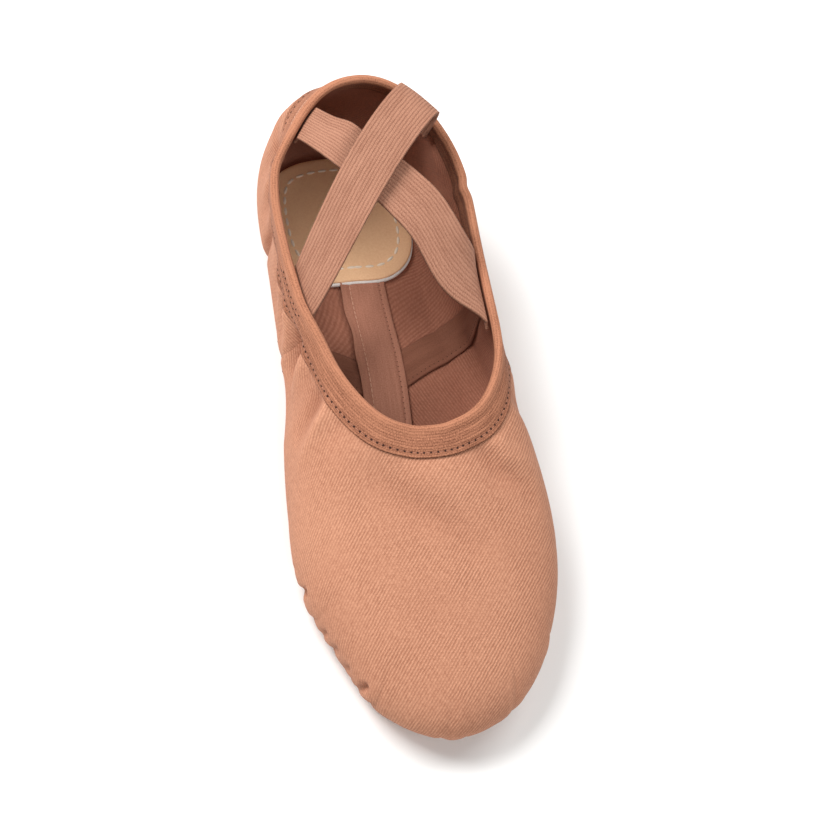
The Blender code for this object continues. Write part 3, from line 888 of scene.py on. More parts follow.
@dataclass(frozen=True)
class TwillPattern:
    """Diagonal ribs of a twill, broken into floats, with slubs and fuzz."""

    sway_scale: float = 320.0
    sway: float = 0.6
    wear_scale: float = 75.0
    wear: float = 2.2
    least_wear: float = -0.15
    trough: float = 0.25
    stagger: float = 0.37
    beats: float = 0.9
    slub_scale: float = 950.0
    slub: float = 0.6
    fuzz_scale: float = 2600.0
    speck_scale: float = 560.0
    speck: float = 0.8
    fine: float = 3.0
    rib_height: float = 0.40
    float_height: float = 0.30
    rough_height: float = 0.35
    rib_shade: float = 0.40
    float_shade: float = 0.34
    mean_shade: float = 1.00

    def group(self) -> Tree:
        """The pattern as a node group."""
        graph, given, put = new_group(Weave.TWILL, ("Ribs",), ("Height", "Shade"))
        place = given["Place"]
        axes = graph.node("ShaderNodeSeparateXYZ", {"Vector": place})
        sway = graph.scaled(graph.centred(graph.noise(place, self.sway_scale)), self.sway)
        rib = graph.scaled(axes.outputs["X"], given["Ribs"], sway)
        run = graph.scaled(axes.outputs["Y"], given["Ribs"])
        worn = graph.scaled(graph.noise(place, self.wear_scale), self.wear, self.least_wear)
        ridge = graph.scaled(graph.math("MULTIPLY", graph.sine(rib, math.tau), worn), 0.5, 0.5)
        row = graph.math("FLOOR", graph.math("ADD", rib, self.trough))
        slub = graph.noise(place, self.slub_scale)
        beat = graph.scaled(row, self.stagger, graph.scaled(run, self.beats, slub))
        floats = graph.math("MULTIPLY", graph.scaled(graph.sine(beat, math.tau), 0.5, 0.5), ridge)
        fuzz = graph.noise(place, self.fuzz_scale, self.fine)
        speck = graph.noise(place, self.speck_scale, self.fine)
        rough = graph.scaled(slub, self.slub, graph.scaled(speck, self.speck, fuzz))
        height = graph.scaled(ridge, self.rib_height, graph.scaled(rough, self.rough_height))
        graph.feed(put["Height"], graph.scaled(floats, self.float_height, height))
        shade = graph.scaled(floats, self.float_shade, graph.scaled(ridge, self.rib_shade, rough))
        graph.feed(put["Shade"], graph.math("SUBTRACT", shade, self.mean_shade))
        return graph.tree


@dataclass(frozen=True)
class CordPattern:
    """Ribs that run the length of an elastic or a tape, crossed by fine picks."""

    sway_scale: float = 300.0
    sway: float = 0.5
    rib_curve: float = 0.6
    rib_mean: float = 0.72
    strand_apart: float = 0.173
    strand_scale: float = 70.0
    stagger: float = 0.5
    fuzz_scale: float = 2000.0
    fine: float = 3.0
    rib_height: float = 0.75
    pick_height: float = 0.12
    fuzz_height: float = 0.8
    rib_shade: float = 0.60
    pick_shade: float = 0.15
    mean_shade: float = 0.56
    strand_shade: float = 1.3
    fuzz_shade: float = 2.0

    def group(self) -> Tree:
        """The pattern as a node group."""
        graph, given, put = new_group(Weave.CORD, ("Ribs", "Picks", "Contrast"), ("Height", "Shade"))
        place, contrast = given["Place"], given["Contrast"]
        axes = graph.node("ShaderNodeSeparateXYZ", {"Vector": place})
        across, along = axes.outputs["X"], axes.outputs["Y"]
        sway = graph.scaled(graph.centred(graph.noise(place, self.sway_scale)), self.sway)
        rib = graph.scaled(across, given["Ribs"], sway)
        swell = graph.math("POWER", graph.math("ABSOLUTE", graph.sine(rib, math.pi)), self.rib_curve)
        swell = graph.math("MULTIPLY", graph.math("SUBTRACT", swell, self.rib_mean), contrast)
        row = graph.math("FLOOR", rib)
        strand = graph.node("ShaderNodeCombineXYZ", {"X": graph.scaled(row, self.strand_apart), "Y": along})
        tone = graph.centred(graph.noise(strand.outputs["Vector"], self.strand_scale, self.fine))
        pick = graph.scaled(along, given["Picks"], graph.scaled(row, self.stagger))
        knit = graph.math("MULTIPLY", graph.sine(pick, math.tau), contrast)
        fuzz = graph.centred(graph.noise(place, self.fuzz_scale, self.fine))
        height = graph.scaled(swell, self.rib_height, graph.scaled(knit, self.pick_height))
        graph.feed(put["Height"], graph.scaled(fuzz, self.fuzz_height, height))
        shade = graph.scaled(swell, self.rib_shade, graph.scaled(knit, self.pick_shade, self.mean_shade))
        shade = graph.scaled(tone, self.strand_shade, shade)
        graph.feed(put["Shade"], graph.scaled(fuzz, self.fuzz_shade, shade))
        return graph.tree


@dataclass(frozen=True)
class NapPattern:
    """Short nap of suede or brushed leather: fine specks over slow clouds."""

    cloud_scale: float = 110.0
    fine: float = 4.0

    def group(self) -> Tree:
        """The pattern as a node group."""
        graph, given, put = new_group(Weave.NAP, ("Grain",), ("Speck", "Cloud"))
        graph.feed(put["Speck"], graph.noise(given["Place"], given["Grain"], self.fine))
        graph.feed(put["Cloud"], graph.noise(given["Place"], self.cloud_scale, self.fine))
        return graph.tree


PATTERNS = {Weave.TWILL: TwillPattern(), Weave.CORD: CordPattern(), Weave.NAP: NapPattern()}


def shared_group(weave: Weave) -> Tree:
    """A pattern group, made the first time that a finish asks for it."""
    return bpy.data.node_groups.get(weave.value) or PATTERNS[weave].group()


@dataclass(frozen=True)
class Finish:
    """What every finish has: its name, two tones, and how it takes the light."""

    SPECULAR: ClassVar[float] = 0.25
    SHEEN_ROUGHNESS: ClassVar[float] = 0.45
    CLOUD: ClassVar[float] = 0.45
    CLOUD_SCALE: ClassVar[float] = 38.0
    CLOUD_DETAIL: ClassVar[float] = 3.0
    POLISH: ClassVar[float] = 0.08

    name: str
    light: Colour
    dark: Colour
    roughness: float = 0.9
    sheen: float = 0.0
    depth: float = 0.12 * MM

    def start(self) -> tuple[Graph, bpy.types.Node, Material]:
        """New material, with the values that are the same all over it set on its shader.

        Returns:
            Graph, shader and material.
        """
        material = bpy.data.materials.new(self.name)
        material.use_nodes = True
        shader = material.node_tree.nodes["Principled BSDF"]
        values = {"Metallic": 0.0, "Specular IOR Level": self.SPECULAR, "Sheen Weight": self.sheen,
                  "Sheen Roughness": self.SHEEN_ROUGHNESS}
        for name, value in values.items():
            shader.inputs[name].default_value = value
        return Graph(material.node_tree), shader, material

    def place(self, graph: Graph, angle: float = 0.0) -> Socket:
        """Flat cloth, turned by an angle."""
        laid = graph.node("ShaderNodeUVMap", {}, uv_map=LAID)
        turned = graph.node("ShaderNodeMapping", {"Vector": laid.outputs["UV"]}, vector_type="POINT")
        turned.inputs["Rotation"].default_value = (0, 0, angle)
        return turned.outputs["Vector"]

    def pattern(self, graph: Graph, weave: Weave, **inputs: Value) -> bpy.types.Node:
        """Shared pattern with this finish's own values."""
        node = graph.tree.nodes.new("ShaderNodeGroup")
        node.node_tree = shared_group(weave)
        for name, value in inputs.items():
            graph.feed(node.inputs[name], value)
        return node

    def tone(self, share: Value, graph: Graph) -> Socket:
        """Colour between the dark and the light tone, with slow changes over the piece."""
        cloud = graph.centred(graph.noise(graph.where(), self.CLOUD_SCALE, self.CLOUD_DETAIL))
        return graph.mix(graph.scaled(cloud, self.CLOUD, share), (*self.dark, 1), (*self.light, 1))

    def relief(self, graph: Graph, shader: bpy.types.Node, height: Value) -> None:
        """Bump of the weave or grain."""
        inputs = {"Height": height, "Distance": self.depth, "Strength": 1.0}
        graph.feed(shader.inputs["Normal"], graph.node("ShaderNodeBump", inputs).outputs["Normal"])

    def dull(self, graph: Graph, shader: bpy.types.Node, share: Value) -> None:
        """Roughness that is a little lower on what stands proud."""
        graph.feed(shader.inputs["Roughness"], graph.scaled(share, -self.POLISH, self.roughness))


@dataclass(frozen=True)
class TwillFinish(Finish):
    """Cotton twill."""

    ribs: float = 913.0
    angle: float = math.radians(45)
    # Strength of the painted shade in the creases and of the lighter tone on the ridges, and the reddish colour
    # of the painted shade.
    crease: float = 0.55
    valley: Colour = (0.55, 0.42, 0.38)

    def material(self) -> Material:
        """The finish as a material."""
        graph, shader, material = self.start()
        twill = self.pattern(graph, Weave.TWILL, Place=self.place(graph, self.angle), Ribs=self.ribs)
        # Painted shade: the valley colour is multiplied into the creases; ridges are painted lighter.
        crease = graph.crease()
        ridge = graph.math("MAXIMUM", crease, 0.0)
        tone = self.tone(graph.scaled(ridge, self.crease / 2, twill.outputs["Shade"]), graph)
        valley = graph.math("MULTIPLY", graph.math("MINIMUM", crease, 0.0), -self.crease)
        graph.feed(shader.inputs["Base Color"], graph.mix(valley, tone, (*self.valley, 1), "MULTIPLY"))
        self.relief(graph, shader, twill.outputs["Height"])
        self.dull(graph, shader, twill.outputs["Shade"])
        return material


@dataclass(frozen=True)
class CordFinish(Finish):
    """Corded tape or ribbed elastic."""

    ribs: float = 800.0
    picks: float = 1500.0
    contrast: float = 1.0
    # Strength of the crease layer, which on the binding holds its painted highlight and painted shade.
    crease: float = 0.6

    def material(self) -> Material:
        """The finish as a material."""
        graph, shader, material = self.start()
        cord = self.pattern(graph, Weave.CORD, Place=self.place(graph), Ribs=self.ribs, Picks=self.picks,
                            Contrast=self.contrast)
        # The binding's painted highlight and painted shade move its tone here.
        share = graph.scaled(graph.crease(), self.crease, cord.outputs["Shade"])
        graph.feed(shader.inputs["Base Color"], self.tone(share, graph))
        self.relief(graph, shader, cord.outputs["Height"])
        self.dull(graph, shader, cord.outputs["Shade"])
        return material


@dataclass(frozen=True)
class NapFinish(Finish):
    """Suede, brushed leather or foam, by the size of its grain."""

    grain: float = 2200.0
    speck: float = 2.4
    cloud: float = 1.2

    def material(self) -> Material:
        """The finish as a material."""
        graph, shader, material = self.start()
        nap = self.pattern(graph, Weave.NAP, Place=graph.where(), Grain=self.grain)
        speck = graph.scaled(graph.centred(nap.outputs["Speck"]), self.speck, 0.5)
        share = graph.scaled(graph.centred(nap.outputs["Cloud"]), self.cloud, speck)
        graph.feed(shader.inputs["Base Color"], graph.mix(share, (*self.dark, 1), (*self.light, 1)))
        self.relief(graph, shader, nap.outputs["Speck"])
        self.dull(graph, shader, nap.outputs["Speck"])
        return material


@dataclass(frozen=True)
class ThreadFinish(NapFinish):
    """Sewing thread."""

    roughness: float = 0.7
    sheen: float = 0.1
    depth: float = 0.05 * MM
    grain: float = 5200.0


CANVAS_FINISH = TwillFinish("salmon canvas twill", (0.585, 0.286, 0.177), (0.350, 0.144, 0.083), 0.92, 0.03,
                            0.16 * MM, angle=math.radians(41))
LINING_FINISH = TwillFinish("lining twill", (0.412, 0.168, 0.105), (0.278, 0.107, 0.065), 0.94, 0.02,
                            0.12 * MM, angle=math.radians(8))
BINDING_FINISH = CordFinish("binding tape", (0.450, 0.190, 0.106), (0.165, 0.058, 0.030), 0.88, 0.02,
                            0.12 * MM, ribs=1050.0, picks=1500.0, contrast=0.8)
TAPE_FINISH = CordFinish("seam tape", (0.455, 0.203, 0.132), (0.325, 0.138, 0.088), 0.88, 0.02,
                         0.05 * MM, ribs=1300.0, picks=1700.0, contrast=0.2)
# The arch bands' tones are darker than the seam tape's, partly as painted shade of the straps' shadow inside the
# shoe.
BAND_FINISH = CordFinish("arch band", (0.265, 0.105, 0.063), (0.190, 0.072, 0.042), 0.90, 0.02,
                         0.05 * MM, ribs=1500.0, picks=1700.0, contrast=0.4)
ELASTIC_FINISH = CordFinish("ribbed elastic", (0.435, 0.213, 0.138), (0.270, 0.116, 0.071), 0.90, 0.03,
                            0.16 * MM, ribs=820.0, picks=1450.0, contrast=1.2)
SUEDE_FINISH = NapFinish("golden suede", (0.52, 0.295, 0.120), (0.30, 0.160, 0.058), 0.97, 0.05, 0.20 * MM)
# The sock leather's tones are set very light, partly as painted light for the light that falls on the pad between
# the straps.
PAD_FINISH = NapFinish("tan sock leather", (0.950, 0.605, 0.350), (0.880, 0.530, 0.300), 0.85, 0.02,
                       0.05 * MM, 1500.0)
FOAM_FINISH = NapFinish("white foam", (0.95, 0.91, 0.86), (0.80, 0.74, 0.68), 0.95, 0.0, 0.10 * MM, 2600.0)
HOLE_FINISH = NapFinish("needle hole shade", (0.060, 0.022, 0.014), (0.028, 0.010, 0.007), 0.98, 0.0,
                        0.02 * MM, 4000.0)
CREAM_THREAD = ThreadFinish("cream thread", (0.86, 0.72, 0.48), (0.60, 0.44, 0.24))
WHITE_THREAD = ThreadFinish("white thread", (0.98, 0.84, 0.69), (0.92, 0.74, 0.57))
SALMON_THREAD = ThreadFinish("salmon thread", (0.48, 0.215, 0.135), (0.28, 0.115, 0.070))
PALE_THREAD = ThreadFinish("pale thread", (0.74, 0.46, 0.33), (0.52, 0.27, 0.18))


@dataclass
class Finishes:
    """Every material of the slipper, made once."""

    canvas: Material = field(default_factory=CANVAS_FINISH.material)
    lining: Material = field(default_factory=LINING_FINISH.material)
    binding: Material = field(default_factory=BINDING_FINISH.material)
    tape: Material = field(default_factory=TAPE_FINISH.material)
    band: Material = field(default_factory=BAND_FINISH.material)
    elastic: Material = field(default_factory=ELASTIC_FINISH.material)
    suede: Material = field(default_factory=SUEDE_FINISH.material)
    pad: Material = field(default_factory=PAD_FINISH.material)
    foam: Material = field(default_factory=FOAM_FINISH.material)
    cream: Material = field(default_factory=CREAM_THREAD.material)
    white: Material = field(default_factory=WHITE_THREAD.material)
    salmon: Material = field(default_factory=SALMON_THREAD.material)
    pale: Material = field(default_factory=PALE_THREAD.material)
    hole: Material = field(default_factory=HOLE_FINISH.material)


@dataclass
class Upper:
    """Canvas of the slipper, a vamp sewn to the quarters along the arch, and the lining cut the same way."""

    skin: Skin
    seam: ArchSeam
    quarter_turn: float = math.radians(-42)
    right_lining_turn: float = math.radians(98)
    left_lining_turn: float = math.radians(122)

    def build(self, finishes: Finishes) -> None:
        """Make both faces of the cloth and dress them."""
        shape = self.skin
        arounds = shape.along_seam(self.seam)
        climbs = np.broadcast_to(shape.climbs, arounds.shape)
        normals, points, flat = (shape.sample(table, arounds, climbs)
                                 for table in (shape.normals, shape.points, shape.flat))
        # The crease table gives the outer face its painted shade in creases and lighter tone on ridges.
        lift, crease = (shape.sample(table, arounds, climbs) for table in (shape.lift, shape.crease))
        outer = points + normals * lift[..., None]
        inner = outer - normals * CANVAS
        first = shape.quarter_columns
        last = len(arounds) - 1 - first
        vamp, right, left = range(first, last + 1), range(first + 1), range(last, len(arounds))

        def sheet(name: str, face: np.ndarray, columns: Sequence[int], angle: float) -> Piece:
            """One panel of a face, with its weave turned by an angle."""
            turn = np.array(Matrix.Rotation(angle, 2))
            picked = list(columns)
            return cloth_sheet(name, face[picked], flat[picked] @ turn.T, face is inner,
                               crease[picked] if face is outer else None)

        fit(sheet("upper_vamp", outer, vamp, 0.0), finishes.canvas, "canvas", "upper")
        heel = [*left, *right[1:]]
        fit(sheet("upper_quarters", outer, heel, self.quarter_turn), finishes.canvas, "canvas")
        fit(sheet("lining_vamp", inner, vamp[::2], 0.0), finishes.lining, "canvas")
        fit(sheet("lining_right", inner, right[::2], self.right_lining_turn), finishes.lining, "canvas")
        fit(sheet("lining_left", inner, left[::2], self.left_lining_turn), finishes.lining, "canvas")


@dataclass
class CollarBinding:
    """Bias tape folded over the edge of the mouth, with a cord's bulge in its fold."""

    skin: Skin
    outside: float = 9.5 * MM
    inside: float = 8 * MM
    tape: float = 0.5 * MM
    gap: float = 0.08 * MM
    bulge: float = 0.22 * MM
    bulge_depth: float = 1.8 * MM
    groove: float = 0.22 * MM
    groove_width: float = 0.7 * MM
    rim_drop: float = 2.6 * MM
    stitch_drop: float = 7.7 * MM
    # Painted light on the tape: a painted highlight along the rolled rim, and painted shade in the sewn groove,
    # along the outer edge and over the inner face.
    rim_highlight: float = 0.5
    rim_highlight_width: float = 1.5 * MM
    stitch_shade: float = 0.6
    stitch_shade_width: float = 0.6 * MM
    edge_shade: float = 0.5
    edge_shade_width: float = 0.5 * MM
    columns: int = 420
    outside_rows: int = 26
    fold_rows: int = 12
    inside_rows: int = 14

    def lift(self, drops: np.ndarray) -> np.ndarray:
        """Height of the tape's middle off the canvas, by the drop below the mouth."""
        cord = self.bulge * bell(drops, self.bulge_depth)
        sewn = self.groove * bell(drops - self.stitch_drop, self.groove_width)
        rolled = self.groove / 2 * bell(drops - self.rim_drop, self.groove_width)
        return self.gap + self.tape / 2 + cord - sewn - rolled

    def build(self, finishes: Finishes) -> None:
        """Make the tape and dress it."""
        shape = self.skin
        arounds = np.linspace(0, 1, self.columns + 1)
        out_drops = np.linspace(self.outside, 0, self.outside_rows, endpoint=False)
        in_drops = np.linspace(0, self.inside, self.inside_rows + 1)[1:]
        outer = shape.at(arounds, shape.last.drops(arounds, out_drops), self.lift(out_drops)[None, :])
        inner = shape.at(arounds, shape.last.drops(arounds, in_drops), -CANVAS - self.lift(in_drops)[None, :])
        top = np.full((len(arounds), 1), 3.0)
        edge = shape.at(arounds, top, -CANVAS / 2)
        normal = shape.sample(shape.normals, arounds, 3.0)[:, None]
        below = shape.at(arounds, shape.last.drops(arounds, (MM,)), -CANVAS / 2)
        upward = (edge - below) / np.linalg.norm(edge - below, axis=2)[..., None]
        radius = CANVAS / 2 + self.gap + self.tape / 2 + self.bulge
        angles = np.linspace(0, math.pi, self.fold_rows + 1)[None, :, None]
        fold = edge + radius * (normal * np.cos(angles) + upward * np.sin(angles))
        points = np.concatenate((outer, fold, inner), axis=1)
        across = np.concatenate((-out_drops, np.linspace(0, math.pi * radius, self.fold_rows + 1), in_drops))
        laid = flat_grid(across, run_lengths(edge[:, 0])).swapaxes(0, 1)
        drops = np.concatenate((out_drops, np.zeros(self.fold_rows + 1), np.full(self.inside_rows, self.outside)))
        # Painted highlight at the rim, painted shade at the stitch line, at the outer edge and over the inner
        # face, whose rows count as the edge's drop.
        tone = (self.rim_highlight * bell(drops, self.rim_highlight_width)
                - self.stitch_shade * bell(drops - self.stitch_drop, self.stitch_shade_width)
                - self.edge_shade * bell(drops - self.outside, self.edge_shade_width))
        tape = cloth_sheet("collar_binding_tape", points, laid, crease=np.tile(tone, (len(arounds), 1)))
        make_thick(tape, self.tape)
        fit(tape, finishes.binding, "binding", "collar_binding")

    def stitch_line(self, drop: float, span: Place, count: int) -> Line:
        """Line on the outside of the tape, a drop below the mouth.

        Args:
            drop: Distance below the mouth.
            span: First and last share round.
            count: Number of points.

        Returns:
            The points, and the outward direction at each.
        """
        arounds = np.linspace(*span, count)
        climbs = self.skin.last.drops(arounds, (drop,))
        lift = float(self.lift(np.array(drop))) + self.tape / 2
        normals = self.skin.sample(self.skin.normals, arounds, climbs[:, 0])
        return self.skin.at(arounds, climbs, lift)[:, 0], normals


class StrapEnd(NamedTuple):
    """Sewn end of an elastic: where, how long a seam and tab it has, and how the elastic springs off it."""

    around: float
    seam: float
    tab: float
    bow: float
    lean: float
    tilt: float
    spread: float


class ElasticLine(NamedTuple):
    """Ends of an elastic, how far its middle and its front third lie aside, and a buckle in its rear edge."""

    front: StrapEnd
    rear: StrapEnd
    sway: tuple[float, float, float]
    sag: tuple[float, float, float] = (0.0, 0.0, 0.0)
    buckle: float = 0.0


@dataclass
class ElasticStrap:
    """Ribbed elastic sewn inside the mouth at both ends, standing in a bow over the foot."""

    skin: Skin
    node: str
    line: ElasticLine
    sag_reach: float = 0.44
    sag_mean: float = 0.7
    sag_slope: float = 0.6
    buckle_at: float = 0.80
    buckle_half: float = 0.06
    width: float = 17 * MM
    inset: float = -(CANVAS + GAP + TAPE + 2 * GAP + ELASTIC / 2)
    strands: int = 28
    steps: int = 130
    tab_rows: int = 8

    def on_wall(self, around: float, drop: float) -> np.ndarray:
        """Point inside the mouth, a drop below its edge."""
        arounds = np.array([around])
        return self.skin.at(arounds, self.skin.last.drops(arounds, (drop,)), self.inset)[0, 0]

    def end(self, end: StrapEnd, across: float, aim: np.ndarray) -> tuple[float, np.ndarray, np.ndarray]:
        """Where one strand meets the mouth.

        Args:
            end: Which end.
            across: Place of the strand, from -0.5 to 0.5.
            aim: Middle of the other end.

        Returns:
            Share round, point and handle of the strand.
        """
        stretch = np.linalg.norm(self.on_wall(end.around + NUDGE, 0) - self.on_wall(end.around - NUDGE, 0))
        toward_toe = 1 if end.around < 0.5 else -1
        around = end.around + toward_toe * across * end.seam * 2 * NUDGE / stretch
        middle = self.on_wall(end.around, 0)
        upward = middle - self.on_wall(end.around, MM)
        upward /= np.linalg.norm(upward)
        toward = (aim - middle) / np.linalg.norm(aim - middle)
        sideways = np.cross(toward, UP)
        sideways *= across * math.copysign(self.width * end.spread, -sideways[1]) / np.linalg.norm(sideways)
        tipped = sideways * math.cos(end.tilt) - UP * across * self.width * end.spread * math.sin(end.tilt)
        handle = middle + (upward * (1 - end.lean) + toward * end.lean) * end.bow + tipped
        return around, self.on_wall(around, 0), handle

    def build(self, finishes: Finishes) -> None:
        """Make the elastic and dress it."""
        front, rear, sway, sag, buckle = self.line
        front_middle = self.on_wall(front.around, 0)
        rear_middle = self.on_wall(rear.around, 0)
        run = np.linspace(0, 1, self.steps + 1)[:, None]
        aside = np.array(sway) * np.sin(np.pi * run) ** 2
        wave = UP * buckle * bell(run - self.buckle_at, self.buckle_half)
        slack = np.array(sag) * np.sin(np.pi * np.clip(run / self.sag_reach, 0, 1)) ** 2
        drops = np.linspace(1, 0, self.tab_rows, endpoint=False)
        columns = []
        for across in np.linspace(-0.5, 0.5, self.strands + 1):
            front_around, front_rim, front_handle = self.end(front, across, rear_middle)
            rear_around, rear_rim, rear_handle = self.end(rear, across, front_middle)
            front_tab = [self.on_wall(front_around, drop * front.tab) for drop in drops]
            rear_tab = [self.on_wall(rear_around, drop * rear.tab) for drop in drops[::-1]]
            span = (front_rim * (1 - run) ** 3 + front_handle * 3 * (1 - run) ** 2 * run
                    + rear_handle * 3 * (1 - run) * run ** 2 + rear_rim * run ** 3)
            span = span + aside + wave * (0.5 - across) + slack * (self.sag_mean + self.sag_slope * across)
            columns.append(np.concatenate((front_tab, span, rear_tab)))
        points = np.array(columns)
        across = np.linspace(0, self.width, self.strands + 1)
        laid = flat_grid(across, run_lengths(points[self.strands // 2]))
        strap = cloth_sheet(self.node + "_webbing", points, laid)
        make_thick(strap, ELASTIC)
        fit(strap, finishes.elastic, "elastic", self.node)


class Row(NamedTuple):
    """One loop of a plate: how far in from its edge, what share of the way out from the middle, and how high."""

    inset: float
    share: float
    level: float


def face(shares: Sequence[float], inset: float, level: float, crown: float = 0.0) -> list[Row]:
    """Rows of a plate's face, from near its edge to its middle.

    Args:
        shares: Share of the way out of each row.
        inset: Distance in from the edge.
        level: Height of the face.
        crown: How much higher its middle is.

    Returns:
        The rows.
    """
    return [Row(inset, share, level + crown * (1 - share ** 4)) for share in shares]


@dataclass
class Plate:
    """Flat sole or sock piece: a smooth outline, and rows in from its edge."""

    last: Last
    half: Sequence[Edge]
    steps: int = 260

    @cached_property
    def spline(self) -> ClosedSpline:
        """Outline of both halves."""
        half = np.array([(edge.out * self.last.half_ball, self.last.station(edge.along)) for edge in self.half])
        mirrored = half[-2:0:-1] * (-1, 1)
        plan = np.concatenate((half, mirrored))
        return ClosedSpline(plan, plan)

    def outline(self, inset: float) -> np.ndarray:
        """Closed outline, a distance in from the edge."""
        shares = np.linspace(0, 1, self.steps + 1)
        tangent = self.spline(shares + NUDGE) - self.spline(shares - NUDGE)
        tangent /= np.linalg.norm(tangent, axis=1)[:, None]
        return self.spline(shares) - inset * np.column_stack((tangent[:, 1], -tangent[:, 0]))

    def sheet(self, name: str, rows: Sequence[Row]) -> Piece:
        """Piece from rows of its outline.

        Args:
            name: Name of the piece.
            rows: Rows from the middle of the top over the edge to the middle of the underside.

        Returns:
            The piece.
        """
        centre = self.spline(np.linspace(0, 1, self.steps, endpoint=False)).mean(axis=0)
        loops = []
        for inset, share, level in rows:
            plan = centre + (self.outline(inset) - centre) * share
            loops.append(np.column_stack((plan, np.full(len(plan), level))))
        points = np.stack(loops, axis=1)
        return cloth_sheet(name, points, points[:, :, :2])

    def ring_line(self, inset: float, level: float, facing: float) -> Line:
        """Closed line in from the edge.

        Args:
            inset: Distance in from the edge.
            level: Height of the line.
            facing: 1 to face up and -1 to face down.

        Returns:
            The points, and the outward direction at each.
        """
        plan = self.outline(inset)
        points = np.column_stack((plan, np.full(len(plan), level)))
        return points, np.tile(UP * facing, (len(plan), 1))


@dataclass
class SolePatches:
    """Suede patches under the ball and the heel, sewn in a groove near their edge."""

    last: Last
    stitch_inset: float = 3.1 * MM
    groove: float = 0.55 * MM
    groove_half: float = 0.75 * MM
    groove_side: float = 0.7
    rounding: float = 0.4 * MM
    rounding_middle: float = 0.3
    inner_shares: tuple[float, ...] = (0.85, 0.65, 0.45, 0.25, 0.0)

    def patch(self, name: str, half: Sequence[Edge], node: str, finishes: Finishes) -> Plate:
        """Make one patch and dress it.

        Args:
            name: Name of the piece.
            half: Half of its outline.
            node: Solid that it stands for.
            finishes: Materials.

        Returns:
            Its plate, for the stitches.
        """
        plate = Plate(self.last, half)
        deep, wide, corner = self.stitch_inset, self.groove_half, self.rounding * self.rounding_middle
        edge = [Row(0.0, 1.0, SUEDE), Row(0.0, 1.0, self.rounding), Row(corner, 1.0, corner),
                Row(self.rounding, 1.0, 0.0)]
        groove = [Row(deep - wide, 1.0, 0.0), Row(deep - wide / 2, 1.0, self.groove * self.groove_side),
                  Row(deep, 1.0, self.groove), Row(deep + wide / 2, 1.0, self.groove * self.groove_side),
                  Row(deep + wide, 1.0, 0.0)]
        top = face(self.inner_shares, 0.0, SUEDE)[::-1]
        piece = plate.sheet(name, [*top, *edge, *groove, *face(self.inner_shares, deep + wide, 0.0)])
        fit(piece, finishes.suede, "suede", node)
        return plate

    def build(self, finishes: Finishes) -> tuple[Plate, Plate]:
        """Make both patches.

        Returns:
            Plates of the forefoot and the heel patch.
        """
        forefoot = self.patch("forefoot_patch", FOREFOOT_PATCH, "outsole_forefoot", finishes)
        heel = self.patch("heel_patch", HEEL_PATCH, "outsole_heel", finishes)
        return forefoot, heel


@dataclass
class Socks:
    """Padded heel sock with a foam edge, and the thin sock over the forefoot."""

    last: Last
    floor: float = SOLE_PLANE + CANVAS + GAP
    cover: float = 0.7 * MM
    crown: float = 0.5 * MM
    overhang: float = 0.60 * MM
    foam_bulge: float = 0.2 * MM
    cover_lift: float = 0.05 * MM
    cover_lean: float = 0.1 * MM
    cover_drop: float = 0.25 * MM
    cover_rounding: float = 0.5 * MM
    sock_side: float = 0.6
    sock_rounding: float = 0.4 * MM
    inner_shares: tuple[float, ...] = (0.94, 0.85, 0.65, 0.45, 0.25, 0.0)

    @property
    def foam_top(self) -> float:
        """Height of the foam under the cover."""
        return self.floor + PAD - self.cover

    @property
    def stitch_level(self) -> float:
        """Height of the cover where it is sewn."""
        return self.floor + PAD + self.crown / 3

    def build(self, finishes: Finishes) -> Plate:
        """Make the socks and dress them.

        Returns:
            Plate of the heel sock, for its stitches.
        """
        heel = Plate(self.last, HEEL_SOCK)
        foam = Plate(self.last, HEEL_FOAM).sheet("heel_sock_foam", self.foam_rows())
        fit(foam, finishes.foam, "insole")
        cover = heel.sheet("heel_sock_cover", self.cover_rows())
        fit(cover, finishes.pad, "insole", "insole_heel")
        sock = Plate(self.last, FOREFOOT_SOCK).sheet("forefoot_sock", self.sock_rows())
        fit(sock, finishes.lining, "canvas", "insole_forefoot")
        return heel

    def foam_rows(self) -> list[Row]:
        """Rows of the foam, whose edge bulges."""
        edge = [Row(0.0, 1.0, self.foam_top), Row(-self.foam_bulge, 1.0, (self.floor + self.foam_top) / 2),
                Row(0.0, 1.0, self.floor)]
        top = face(self.inner_shares, 0.0, self.foam_top)[::-1]
        return [*top, *edge, *face(self.inner_shares, 0.0, self.floor)]

    def cover_rows(self) -> list[Row]:
        """Rows of the leather cover, which is crowned."""
        top, rim = self.floor + PAD, self.overhang + self.cover_rounding
        edge = [Row(rim, 1.0, top), Row(self.overhang + self.cover_lean, 1.0, top - self.cover_drop),
                Row(self.overhang, 1.0, self.foam_top + self.cover_lift)]
        crowned = face(self.inner_shares, rim, top, self.crown)[::-1]
        return [*crowned, *edge, *face(self.inner_shares, self.overhang, self.foam_top)]

    def sock_rows(self) -> list[Row]:
        """Rows of the thin sock."""
        top = self.floor + SOCK
        edge = [Row(self.sock_rounding, 1.0, top), Row(0.0, 1.0, self.floor + SOCK * self.sock_side),
                Row(0.0, 1.0, self.floor)]
        level = face(self.inner_shares, self.sock_rounding, top)[::-1]
        return [*level, *edge, *face(self.inner_shares, 0.0, self.floor)]


